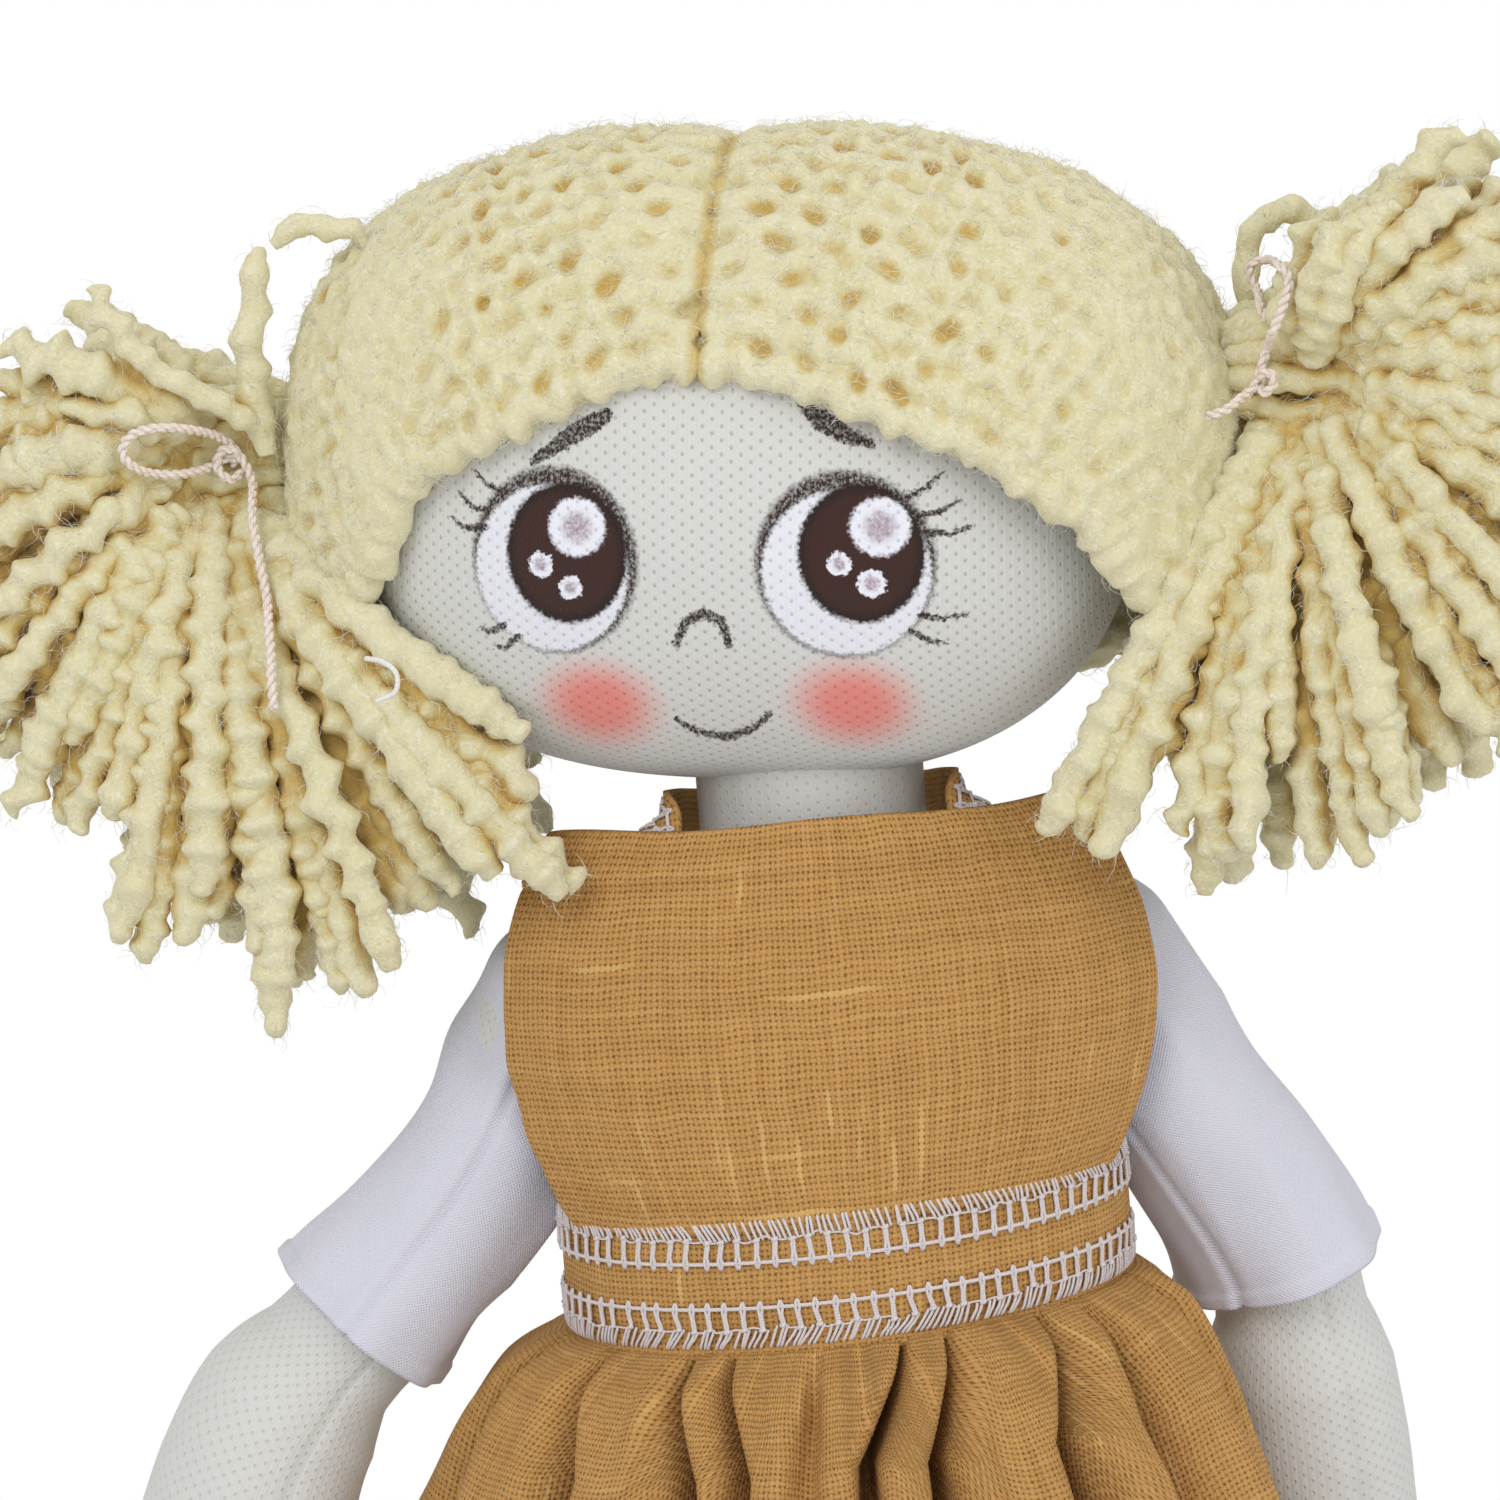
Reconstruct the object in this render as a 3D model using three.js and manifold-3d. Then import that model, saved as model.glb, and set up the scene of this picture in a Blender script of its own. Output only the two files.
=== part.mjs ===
// A stuffed cloth doll about 30 cm tall, standing on its soles and facing -Y, in millimetres.
// Left and right are the doll's own, so its left side is +X. The head is turned and tilted a little,
// and the two arms hang differently, as a soft doll's do.

import * as THREE from 'three';
import { mergeVertices } from 'three/addons/utils/BufferGeometryUtils.js';
import Module from 'manifold-3d';

const wasm = await Module();
wasm.setup();

// Cloth and fits
const skinThickness = 0.9;
const clearance = 0.3;
const cutOverrun = 30;
const threadRadius = 0.8;
const knotRadius = 2.2;
const knotLength = 4;
const threadSides = 12;

// Heights of the torso and the dress, each measured from the one it belongs to
const hipLevel = 138;
const crotchDrop = 11;
const beltRise = 15;
const beltHeight = 14;
const neckRise = 38;
const shoulderDrop = 13;
const bibTopRise = 8.5;
const crotchLevel = hipLevel - crotchDrop;
const beltBottomLevel = hipLevel + beltRise;
const beltTopLevel = beltBottomLevel + beltHeight;
const neckPivotLevel = beltTopLevel + neckRise;
const shoulderLevel = neckPivotLevel - shoulderDrop;
const bibTopLevel = neckPivotLevel + bibTopRise;

// Torso
const torsoHalfWidth = 32;
const torsoHalfDepth = 20.5;
const torsoPower = 2.1;
const seatSides = 16;
const torsoSides = 22;
const gussetHalfWidth = 10;
// Each row: share of the way from crotch to neck rim, share of half width, share of half depth
const torsoShares = [
  [0, 0.45, 0.35], [0.08, 0.72, 0.7], [0.2, 0.95, 0.94], [0.36, 1, 1], [0.49, 0.94, 0.98],
  [0.6, 0.82, 0.95], [0.7, 0.73, 0.92], [0.8, 0.69, 0.9], [0.89, 0.64, 0.86], [0.96, 0.57, 0.79],
  [1, 0.49, 0.75],
];

// Neck: a ball seated in the torso, a slim tube above it that ends inside the head
const neckBallRadius = 14.4;
const neckRadius = 13.6;
const neckBallDepth = 6;
const neckRoundness = 20;
const neckArcSteps = 4;
const neckTubeHeight = 26;
const neckTopLevel = neckPivotLevel + neckTubeHeight;
const neckSocketDepth = 9.4;

// Head, before the hair
const headHalfWidth = 47.2;
const headHalfDepth = 30.5;
const headHalfHeight = 37;
const headPower = 2.5;
const headDepthPower = 2.15;
const headSides = 26;
const headRings = 12;
const headRise = 49.5;
const headCentreLevel = neckPivotLevel + headRise;
const headSideShift = -5.5;
const headForwardShift = -1.5;
const headTurn = -9;
const headRoll = 5;

// Knitted hair cap
const hairHalfWidth = 58.5;
const hairHalfDepth = 35;
const hairHalfHeight = 40.6;
const hairSideShift = 3;
const partingGap = 0.3;
// Hairline from the parting to one side, as shares of the head's half width and half height
const hairlineShares = [
  [0.1, 0.26], [0.25, 0.18], [0.42, 0.075], [0.6, 0.01], [0.76, -0.1], [0.88, -0.25],
  [0.93, -0.38], [1.02, -0.46], [1.5, -0.5],
];
const hairlinePeakShare = 0.295;
const hairFrontDepthShare = 0.12;
const napeLevelShare = 0.78;
const templeLevelShare = 0.47;

// Pigtails: each is a bush of yarn below and around its tie, which lies on the hair's side
const pigtailRootRadius = 4.6;
const pigtailRootSides = 20;
const pigtailLobes = 13;
const pigtailLobeHeight = 1.3;
const pigtailSides = 26;
// Each row: share of the way down, then shares of the reach outward, the reach inward and the depth
const pigtailShares = [
  [0, 0.3, -0.1, 0.3], [0.09, 0.6, 0.1, 0.58], [0.22, 0.84, 0.45, 0.82], [0.38, 0.96, 0.75, 0.96],
  [0.56, 1, 0.95, 1], [0.74, 0.97, 1, 0.98], [0.89, 0.8, 0.86, 0.8], [1, 0.5, 0.55, 0.42],
];
const pigtailLift = 15;
const pigtailLiftSteps = 4;
const pigtailHeadClearance = 0.5;
const pigtailDepth = 19;
const tieForward = 1;
const pigtails = {
  right: { side: -1, tieHeight: 0.3, reach: 35, inward: 24, rise: 11, drop: 62 },
  left: { side: 1, tieHeight: 11, reach: 42, inward: 18, rise: 24, drop: 60 },
};

// Twine that ties the pigtails
const twineRadius = 0.45;
const windingTurns = 3;
const windingPitch = 1.7;
const windingStandOff = 1.9;
const windingClearance = 0.35;
const windingSteps = 24;
const twineSides = 6;
const leastTwineGap = 0.4;
const gapSamples = 4;
// Stretches of twine closer along it than this many radii count as neighbours
const neighbourRadii = 8;
// Route of each bow's twine from its cut end up to the knot and round its loop: how far outward from
// the tie, how high, and how far in front of the yarn
const bowRoutes = {
  right: [[-3, -29, 0], [-2.4, -22, 0], [-0.8, -14, 0], [1.2, -7, 0], [2.6, -1.5, 0], [6, 1.8, 0],
    [11, 3.2, 0], [15.5, 2.2, 0], [16.5, 0, 0], [13, -1.9, 0], [8, -2.4, 0], [5, -3.4, 0]],
  left: [[-8, -3, 7.5], [-5, -2.6, 6.5], [-1, -1.6, 1], [1.6, 2, 0], [1.4, 8, 0], [1.4, 13, 1],
    [3.4, 16, 2], [6, 14, 2], [6.4, 9, 0], [5, 3, 0], [4.2, -0.6, 0]],
};
const bowSmoothness = 3;
const knotTwines = 3;

// Arms, from the shoulder thread down
const armHalfSpan = 31.5;
const shoulderPlane = 20;
const shoulderBack = 5;
const shoulderSeatRadius = 14;
// Lengths of the stretches of each arm's middle line and how far each leans outward, in degrees
const armStretches = [22, 22, 20, 26];
const arms = {
  right: { side: -1, splay: [31, 44, 44, 22], back: 0 },
  left: { side: 1, splay: [31, 29, 8, 4], back: 10 },
};
const armSides = 14;
const armSteps = 11;
const upperArmRadius = 9.5;
const handRadius = 13;
// Each row: share of the arm's length, share of the way from the upper arm's to the hand's radius
const armSwellShares = [[0, 0], [0.55, 0], [0.61, 0.62], [0.7, 0.84], [0.88, 1], [1, 0.9]];

// Sleeve
const sleeveLength = 47;
const sleeveThickness = 0.9;
const sleeveFlare = 0.5;
// Each row: share of the arm's length, share of the flare at the hem
const sleeveFlareShares = [[0, 0], [0.3, 0], [0.5, 1], [1, 1]];

// Legs and feet
const legSpread = 22;
const legTopRadius = 11.4;
const ankleRadius = 9.2;
const legSides = 12;
const legSteps = 8;
const hipSeatRadius = 11.8;
const seatBackRise = 5;
const footHalfWidth = 12;
const heelReach = 12;
const toeReach = 30;
const footHeight = 17;
const footBluntness = 0.8;
const instepShare = 0.55;
const soleThickness = 1;
const soleSegments = 12;

// Waistband
const beltHalfWidth = 33.8;
const beltHalfDepth = 22.9;
const beltThickness = 1.5;
const beltSides = 36;

// Bib and its neck strap
const bibThickness = 1.1;
const bibColumns = 12;
const bibSwellHalfWidth = 41;
const bibTopHalfWidth = 32.5;
const bibTopHalfDepth = 17.6;
const bibWrap = 68;
const bibSwellPower = 0.8;
const bibDepthPower = 1.5;
// Share of the bib's height at each row of points
const bibRowShares = [0, 0.12, 0.28, 0.46, 0.64, 0.82, 1];
const strapWidth = 5.5;
const strapThickness = 1;
const strapSteps = 34;
// Route of the strap's middle from inside the bib's top edge to the back of the neck: how far out, how
// far back, how far above the neck's pivot, and the way its face looks in degrees from straight sideways
const strapRoute = [
  [18, -13.4, 1.6, -74], [18, -12.7, 5.4, -70], [17.8, -11, 8.5, -46], [17, -6.6, 9.4, -16],
  [16, 2, 8.8, 8], [12.3, 10.6, 7.6, 42], [0, 16.6, 6.6, 90],
];

// Skirt
const hemDrop = 64;
const hemLevel = hipLevel - hemDrop;
const hemHalfWidth = 70;
const hemHalfDepth = 54;
const skirtThickness = 1.2;
const skirtFolds = 15;
const foldWander = 0.7;
const foldWanders = 3;
const foldDepth = 4.2;
const gatherDepth = 0.7;
const skirtSides = 60;
const skirtFlarePower = 0.4;
// Share of the skirt's drop at each row of points
const skirtRowShares = [0, 0.1, 0.24, 0.45, 0.7, 1];
const armDentDepth = 22;
const armDentAngle = 19;
const armDentSpread = 16;
const armDentPower = 0.7;
// Share of the skirt's drop at which the dent has faded out
const armDentEnd = 0.8;

// Cloth and yarn colours
const finishes = {
  skinKnit: { color: 0xe4e2da, roughness: 0.9 },
  whiteCotton: { color: 0xdcdbe4, roughness: 0.85 },
  linen: { color: 0xc19354, roughness: 0.9 },
  yarn: { color: 0xeee4b4, roughness: 0.95 },
  twine: { color: 0xdecdbe, roughness: 0.9 },
  fibrefill: { color: 0xf4f4f0, roughness: 1 },
  strongThread: { color: 0xe8e6e2, roughness: 0.7 },
};

const straightAngle = 180;
const fullAngle = 360;
const radians = THREE.MathUtils.degToRad;
const lerp = THREE.MathUtils.lerp;

// Value at a share of the way through a table of [share, value, ...] rows
function tableAt(rows, share, column = 1) {
  const next = Math.max(1, rows.findIndex((row) => row[0] >= share));
  const [before, after] = [rows[next - 1], rows[next]];
  const part = (share - before[0]) / (after[0] - before[0]);
  return lerp(before[column], after[column], THREE.MathUtils.clamp(part, 0, 1));
}

function signedPower(value, power) {
  return Math.sign(value) * Math.abs(value) ** power;
}

function signedVolume(points, faces) {
  return faces.reduce((sum, [a, b, c]) => (
    sum + points[a].dot(new THREE.Vector3().crossVectors(points[b], points[c]))), 0);
}

function surface(points, faces) {
  const outward = signedVolume(points, faces) > 0;
  const index = faces.flatMap(([a, b, c]) => (outward ? [a, b, c] : [a, c, b]));
  const geometry = new THREE.BufferGeometry().setFromPoints(points);
  geometry.setIndex(index);
  return geometry;
}

function bandFaces(lower, upper, sides) {
  const faces = [];
  for (let i = 0; i < sides; i += 1) {
    const j = (i + 1) % sides;
    faces.push([lower + i, lower + j, upper + j], [lower + i, upper + j, upper + i]);
  }
  return faces;
}

// Closed surface through rings of points, with a fan at each end
function loft(rings) {
  const sides = rings[0].length;
  const points = rings.flat();
  const faces = [];
  for (let r = 0; r + 1 < rings.length; r += 1) {
    faces.push(...bandFaces(r * sides, (r + 1) * sides, sides));
  }
  [0, rings.length - 1].forEach((r) => {
    const middle = rings[r].reduce((sum, p) => sum.add(p), new THREE.Vector3()).divideScalar(sides);
    const apex = points.push(middle) - 1;
    for (let i = 0; i < sides; i += 1) {
      const j = (i + 1) % sides;
      const [a, b] = r === 0 ? [j, i] : [i, j];
      faces.push([apex, r * sides + a, r * sides + b]);
    }
  });
  return surface(points, faces);
}

// Closed surface through rings that follow each other round and back to the first
function loopLoft(rings) {
  const sides = rings[0].length;
  const faces = rings.flatMap((_, r) => (
    bandFaces(r * sides, ((r + 1) % rings.length) * sides, sides)));
  return surface(rings.flat(), faces);
}

function solidOf(geometry) {
  const bare = geometry.clone();
  bare.deleteAttribute('normal');
  bare.deleteAttribute('uv');
  const merged = mergeVertices(bare);
  return new wasm.Manifold(new wasm.Mesh({
    numProp: 3,
    vertProperties: Float32Array.from(merged.attributes.position.array),
    triVerts: Uint32Array.from(merged.index.array),
  }));
}

function geometryOf(solid) {
  const mesh = solid.getMesh();
  const geometry = new THREE.BufferGeometry();
  geometry.setAttribute('position', new THREE.BufferAttribute(mesh.vertProperties, mesh.numProp));
  geometry.setIndex(new THREE.BufferAttribute(mesh.triVerts, 1));
  return geometry;
}

function piece(name, geometry, finish) {
  const mesh = new THREE.Mesh(geometry, new THREE.MeshStandardMaterial({ ...finish, metalness: 0 }));
  mesh.name = name;
  return mesh;
}

function ellipseRing(centre, across, along, halfAcross, halfAlong, sides, power = 2) {
  return Array.from({ length: sides }, (_, i) => {
    const angle = (i / sides) * Math.PI * 2;
    const u = signedPower(Math.cos(angle), 2 / power) * halfAcross;
    const v = signedPower(Math.sin(angle), 2 / power) * halfAlong;
    return centre.clone().addScaledVector(across, u).addScaledVector(along, v);
  });
}

const xAxis = new THREE.Vector3(1, 0, 0);
const yAxis = new THREE.Vector3(0, 1, 0);
const zAxis = new THREE.Vector3(0, 0, 1);

function box(low, high) {
  const size = high.map((value, i) => value - low[i]);
  return new THREE.BoxGeometry(...size).translate(...low.map((value, i) => value + size[i] / 2));
}

// Cylinder along X from one place to another
function crossBar(radius, from, to, sides = threadSides) {
  return new THREE.CylinderGeometry(radius, radius, Math.abs(to - from), sides)
    .rotateZ(Math.PI / 2).translate((from + to) / 2, 0, 0);
}

// Thread drawn through from side to side, with a knot at each end
function knottedThread(halfLength) {
  const outline = [[0, -halfLength - knotLength], [knotRadius, -halfLength - knotLength],
    [knotRadius, -halfLength], [threadRadius, -halfLength], [threadRadius, halfLength],
    [knotRadius, halfLength], [knotRadius, halfLength + knotLength], [0, halfLength + knotLength]];
  const points = outline.map(([r, y]) => new THREE.Vector2(r, y));
  return new THREE.LatheGeometry(points, threadSides).rotateZ(Math.PI / 2);
}

// A limb along a curve: round ends, a radius for each share of its length, drawn in by an inset
function limb(curve, radiusAt, inset, sides, steps) {
  const length = curve.getLength();
  const rings = [];
  for (let k = 1; k < steps; k += 1) {
    const spread = (1 - Math.cos((k / steps) * Math.PI)) / 2;
    const along = lerp(inset, length - inset, spread);
    const share = along / length;
    const full = radiusAt(share) - inset;
    const fromEnd = Math.min(along, length - along) - inset;
    const rounding = fromEnd < full ? Math.sqrt(1 - (1 - fromEnd / full) ** 2) : 1;
    const tangent = curve.getTangentAt(share);
    const across = new THREE.Vector3().crossVectors(yAxis, tangent).normalize();
    const front = new THREE.Vector3().crossVectors(tangent, across).normalize();
    const radius = full * rounding;
    rings.push(ellipseRing(curve.getPointAt(share), across, front, radius, radius, sides));
  }
  return loft(rings);
}

// Torso
function torsoForm(inset) {
  const rimLevel = neckPivotLevel;
  const rings = torsoShares.map(([share, width, depth]) => {
    const level = lerp(crotchLevel + inset, rimLevel - inset, share);
    const centre = new THREE.Vector3(0, 0, level);
    return ellipseRing(centre, xAxis, yAxis, torsoHalfWidth * width - inset,
      torsoHalfDepth * depth - inset, torsoSides, torsoPower);
  });
  return solidOf(loft(rings));
}

function seatCutter(radius, plane, y, z) {
  const sides = [-1, 1].map((side) => (
    crossBar(radius, side * plane, side * (plane + cutOverrun), seatSides)));
  return solidOf(sides[0].translate(0, y, z)).add(solidOf(sides[1].translate(0, y, z)));
}

// Room for the thighs: outside the gusset the torso ends above the hips, so that the legs can fold
// forward to a seat or swing back
function hipSeats(grown) {
  const [radius, plane] = [hipSeatRadius + grown, gussetHalfWidth - grown];
  const [far, floor] = [torsoHalfWidth + cutOverrun, crotchLevel - cutOverrun];
  return [-1, 1].reduce((seats, side) => {
    const [inner, outer] = [side * plane, side * far].sort((a, b) => a - b);
    return seats
      .add(solidOf(box([inner, -far, floor], [outer, 0, hipLevel + radius])))
      .add(solidOf(box([inner, -far, floor], [outer, far, hipLevel + seatBackRise + grown])));
  }, seatCutter(radius, plane, 0, hipLevel));
}

function threadBore(y, z) {
  const reach = torsoHalfWidth + cutOverrun;
  return solidOf(crossBar(threadRadius + clearance, -reach, reach).translate(0, y, z));
}

function torsoSolid(inset, wall) {
  return torsoForm(inset)
    .subtract(seatCutter(shoulderSeatRadius + wall, shoulderPlane - wall, shoulderBack, shoulderLevel))
    .subtract(hipSeats(wall));
}

function neckSocket(radius) {
  const ball = new THREE.SphereGeometry(radius, neckRoundness, neckRoundness / 2);
  ball.rotateX(Math.PI / 2).translate(0, 0, neckPivotLevel);
  const floorLevel = neckPivotLevel - neckSocketDepth;
  const below = box([-radius, -radius, neckPivotLevel - radius - clearance], [radius, radius, floorLevel]);
  return solidOf(ball).subtract(solidOf(below));
}

function torsoPieces() {
  const bores = threadBore(shoulderBack, shoulderLevel).add(threadBore(0, hipLevel));
  const fillInset = skinThickness + clearance;
  const skin = torsoSolid(0, 0)
    .subtract(torsoSolid(skinThickness, skinThickness))
    .subtract(neckSocket(neckBallRadius + clearance))
    .subtract(bores);
  const filling = torsoSolid(fillInset, fillInset)
    .subtract(neckSocket(neckBallRadius + clearance))
    .subtract(bores);
  return [
    piece('torso_skin', geometryOf(skin), finishes.whiteCotton),
    piece('torso_stuffing', geometryOf(filling), finishes.fibrefill),
    piece('shoulder_thread', knottedThread(armHalfSpan - knotLength)
      .translate(0, shoulderBack, shoulderLevel), finishes.strongThread),
  ];
}

// Neck
function neckOutline(inset) {
  const ball = neckBallRadius - inset;
  const tube = neckRadius - inset;
  const low = Math.asin(neckBallDepth / neckBallRadius);
  const high = Math.acos(tube / ball);
  const arc = Array.from({ length: neckArcSteps + 1 }, (_, i) => {
    const angle = lerp(-low, high, i / neckArcSteps);
    return [ball * Math.cos(angle), ball * Math.sin(angle)];
  });
  return [...arc, [tube, neckTopLevel - neckPivotLevel]];
}

function lathe(outline) {
  return new THREE.LatheGeometry(outline.map(([r, z]) => new THREE.Vector2(r, z)), neckRoundness)
    .rotateX(Math.PI / 2);
}

function neckPieces() {
  const outer = neckOutline(0);
  const inner = neckOutline(skinThickness);
  const fill = neckOutline(skinThickness + clearance);
  const skin = lathe([...outer, ...inner.reverse(), outer[0]]);
  const filling = lathe([[0, fill[0][1]], ...fill, [0, fill[fill.length - 1][1]]]);
  const group = new THREE.Group();
  group.position.z = neckPivotLevel;
  group.add(piece('neck_skin', skin, finishes.skinKnit));
  group.add(piece('neck_stuffing', filling, finishes.fibrefill));
  return group;
}

// Head
function roundedForm(halves, outset) {
  const [a, d, c] = halves.map((half) => half + outset);
  const rings = [];
  for (let k = 1; k < headRings; k += 1) {
    const angle = (k / headRings) * Math.PI;
    const size = signedPower(Math.sin(angle), 2 / headDepthPower);
    const y = -d * signedPower(Math.cos(angle), 2 / headDepthPower);
    const centre = new THREE.Vector3(0, y, 0);
    rings.push(ellipseRing(centre, xAxis, zAxis, a * size, c * size, headSides, headPower));
  }
  return loft(rings);
}

function headForm(outset) {
  return roundedForm([headHalfWidth, headHalfDepth, headHalfHeight], outset);
}

function hairForm(outset) {
  return roundedForm([hairHalfWidth, hairHalfDepth, hairHalfHeight], outset)
    .translate(hairSideShift, 0, 0);
}

function headPlace() {
  const group = new THREE.Group();
  group.position.set(headSideShift, headForwardShift, headCentreLevel);
  group.rotation.set(0, radians(headRoll), radians(headTurn));
  group.updateMatrixWorld();
  return group;
}

function neckHole(head, radius) {
  const length = neckTopLevel + clearance - neckPivotLevel;
  const bar = new THREE.CylinderGeometry(radius, radius, length, neckRoundness);
  bar.rotateX(Math.PI / 2).translate(0, 0, neckPivotLevel + length / 2);
  return solidOf(bar.applyMatrix4(head.matrixWorld.clone().invert()));
}

// Everything in front of the hairline and below it
function faceOpening() {
  const reach = hairHalfDepth + cutOverrun;
  const oneSide = hairlineShares.map(([x, z]) => (
    new THREE.Vector2(x * headHalfWidth, z * headHalfHeight)));
  const otherSide = oneSide.map((p) => new THREE.Vector2(-p.x, p.y)).reverse();
  const floor = -headHalfHeight - cutOverrun;
  const outline = new THREE.Shape([...otherSide,
    new THREE.Vector2(0, hairlinePeakShare * headHalfHeight), ...oneSide,
    new THREE.Vector2(oneSide[oneSide.length - 1].x, floor), new THREE.Vector2(otherSide[0].x, floor)]);
  const back = hairFrontDepthShare * headHalfDepth;
  return new THREE.ExtrudeGeometry(outline, { depth: reach + back, bevelEnabled: false })
    .rotateX(Math.PI / 2).translate(0, back, 0);
}

// Everything below the nape, which slopes down from the temples to the back of the neck
function napeOpening() {
  const front = hairFrontDepthShare * headHalfDepth - clearance;
  const back = hairHalfDepth + cutOverrun;
  const floor = -headHalfHeight - cutOverrun;
  const temple = -templeLevelShare * headHalfHeight;
  const nape = -napeLevelShare * headHalfHeight;
  const outline = new THREE.Shape([[front, floor], [back, floor], [back, nape],
    [headHalfDepth * napeLevelShare, nape], [front, temple]].map(([y, z]) => new THREE.Vector2(y, z)));
  const half = hairHalfWidth + cutOverrun;
  return new THREE.ExtrudeGeometry(outline, { depth: half * 2, bevelEnabled: false })
    .rotateX(Math.PI / 2).rotateZ(Math.PI / 2).translate(-half, 0, 0);
}

function hairCap(side) {
  const reach = hairHalfWidth + cutOverrun;
  const edges = [side * (partingGap / 2), side * reach].sort((a, b) => a - b);
  const half = box([edges[0], -reach, -reach], [edges[1], reach, reach]);
  return solidOf(hairForm(0))
    .subtract(solidOf(headForm(clearance)))
    .subtract(solidOf(faceOpening()))
    .subtract(solidOf(napeOpening()))
    .intersect(solidOf(half));
}

// Twine
function tube(points, radius, sides) {
  const curve = new THREE.CatmullRomCurve3(points);
  const section = new THREE.Shape(Array.from({ length: sides }, (_, i) => {
    const angle = (i / sides) * Math.PI * 2;
    return new THREE.Vector2(radius * Math.cos(angle), radius * Math.sin(angle));
  }));
  return new THREE.ExtrudeGeometry(section, {
    steps: points.length - 1, bevelEnabled: false, extrudePath: curve });
}

// Least gap between stretches of a twine that are further apart along it than they are across
function leastSelfGap(points, radius) {
  const curve = new THREE.CatmullRomCurve3(points);
  const places = curve.getSpacedPoints(points.length * gapSamples);
  const step = curve.getLength() / (places.length - 1);
  const apart = Math.ceil((radius * neighbourRadii) / step);
  let least = Infinity;
  places.forEach((p, i) => places.slice(i + apart).forEach((q) => {
    least = Math.min(least, p.distanceTo(q));
  }));
  return least - radius * 2;
}

function twinePiece(name, points) {
  const gap = leastSelfGap(points, twineRadius);
  console.log(`${name}: least gap to itself ${gap.toFixed(2)} mm, at least ${leastTwineGap} wanted`);
  return piece(name, tube(points, twineRadius, twineSides), finishes.twine);
}

function windingPoints(side) {
  const radius = pigtailRootRadius + windingClearance + twineRadius;
  const count = windingTurns * windingSteps;
  return Array.from({ length: count + 1 }, (_, i) => {
    const angle = (i / windingSteps) * Math.PI * 2;
    const out = windingStandOff + (i / windingSteps) * windingPitch;
    return new THREE.Vector3(side * out, radius * Math.sin(angle), radius * Math.cos(angle));
  });
}

// Pigtail, in a frame with the middle of its root at the origin and X along the head's side
function pigtailBush({ side, reach, inward, rise, drop }) {
  return loft(pigtailShares.map(([share, outward, under, deep]) => {
    const centre = side * (reach * outward - inward * under) / 2;
    const halfWidth = (reach * outward + inward * under) / 2;
    return Array.from({ length: pigtailSides }, (_, i) => {
      const turn = (i / pigtailSides) * Math.PI * 2;
      const lobe = pigtailLobeHeight * (Math.cos(turn * pigtailLobes) - 1) * deep;
      return new THREE.Vector3(centre + (halfWidth + lobe) * Math.cos(turn),
        (pigtailDepth * deep + lobe) * Math.sin(turn), lerp(rise, -drop, share));
    });
  }));
}

function bowPoints({ side, rise, drop }, route) {
  const knotFront = pigtailRootRadius + windingClearance + (twineRadius + clearance) * knotTwines;
  const places = route.map(([out, level, forward]) => {
    const share = THREE.MathUtils.clamp((rise - level) / (rise + drop), 0, 1);
    const front = pigtailDepth * tableAt(pigtailShares, share, 3) + clearance + twineRadius;
    return new THREE.Vector3(side * out, -Math.max(knotFront, front) - forward, level);
  });
  return new THREE.CatmullRomCurve3(places).getPoints((places.length - 1) * bowSmoothness);
}

// How far out the side of the hair's form is at a height above its middle
function hairSide(side, height) {
  const share = (1 - (height / hairHalfHeight) ** headPower) ** (1 / headPower);
  return hairHalfWidth * share + side * hairSideShift;
}

function pigtailGroup(name, shape) {
  const { side, tieHeight } = shape;
  const tieOut = hairSide(side, tieHeight);
  const windingRadius = pigtailRootRadius + windingClearance + twineRadius * 2 + clearance;
  const windingEnd = windingStandOff + windingTurns * windingPitch + twineRadius + clearance;
  const hairAtTie = (outset) => hairForm(outset).translate(-side * tieOut, tieForward, -tieHeight);
  let bush = solidOf(pigtailBush(shape)).subtract(
    solidOf(crossBar(windingRadius, -side * tieOut, side * windingEnd, pigtailRootSides)));
  let root = solidOf(crossBar(pigtailRootRadius, -side * pigtailRootRadius,
    side * (windingEnd + pigtailRootRadius), seatSides));
  for (let k = 0; k <= pigtailLiftSteps; k += 1) {
    const turn = side * radians(pigtailLift * (k / pigtailLiftSteps));
    bush = bush.subtract(solidOf(hairAtTie(pigtailHeadClearance).rotateY(turn)));
    root = root.subtract(solidOf(hairAtTie(clearance).rotateY(turn)));
  }
  const group = new THREE.Group();
  group.position.set(side * tieOut, -tieForward, tieHeight);
  group.add(piece(`pigtail_${name}`, geometryOf(bush.add(root)), finishes.yarn));
  group.add(twinePiece(`hair_tie_${name}`, windingPoints(side)));
  group.add(twinePiece(`tie_bow_${name}`, bowPoints(shape, bowRoutes[name])));
  return group;
}

function headGroup() {
  const head = headPlace();
  const skin = solidOf(headForm(0))
    .subtract(solidOf(headForm(-skinThickness)))
    .subtract(neckHole(head, neckRadius + clearance));
  const filling = solidOf(headForm(-skinThickness - clearance))
    .subtract(neckHole(head, neckRadius + clearance));
  head.add(piece('head_skin', geometryOf(skin), finishes.skinKnit));
  head.add(piece('head_stuffing', geometryOf(filling), finishes.fibrefill));
  Object.entries(pigtails).forEach(([name, shape]) => {
    head.add(piece(`hair_cap_${name}`, geometryOf(hairCap(shape.side)), finishes.yarn));
    head.add(pigtailGroup(name, shape));
  });
  return head;
}

// Arms, each in a frame with its shoulder at the origin. The curve takes in the sleeve's thickness
// at both ends, so the arm inside it is drawn in by that much.
const sleeveWall = sleeveThickness + clearance;

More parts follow.
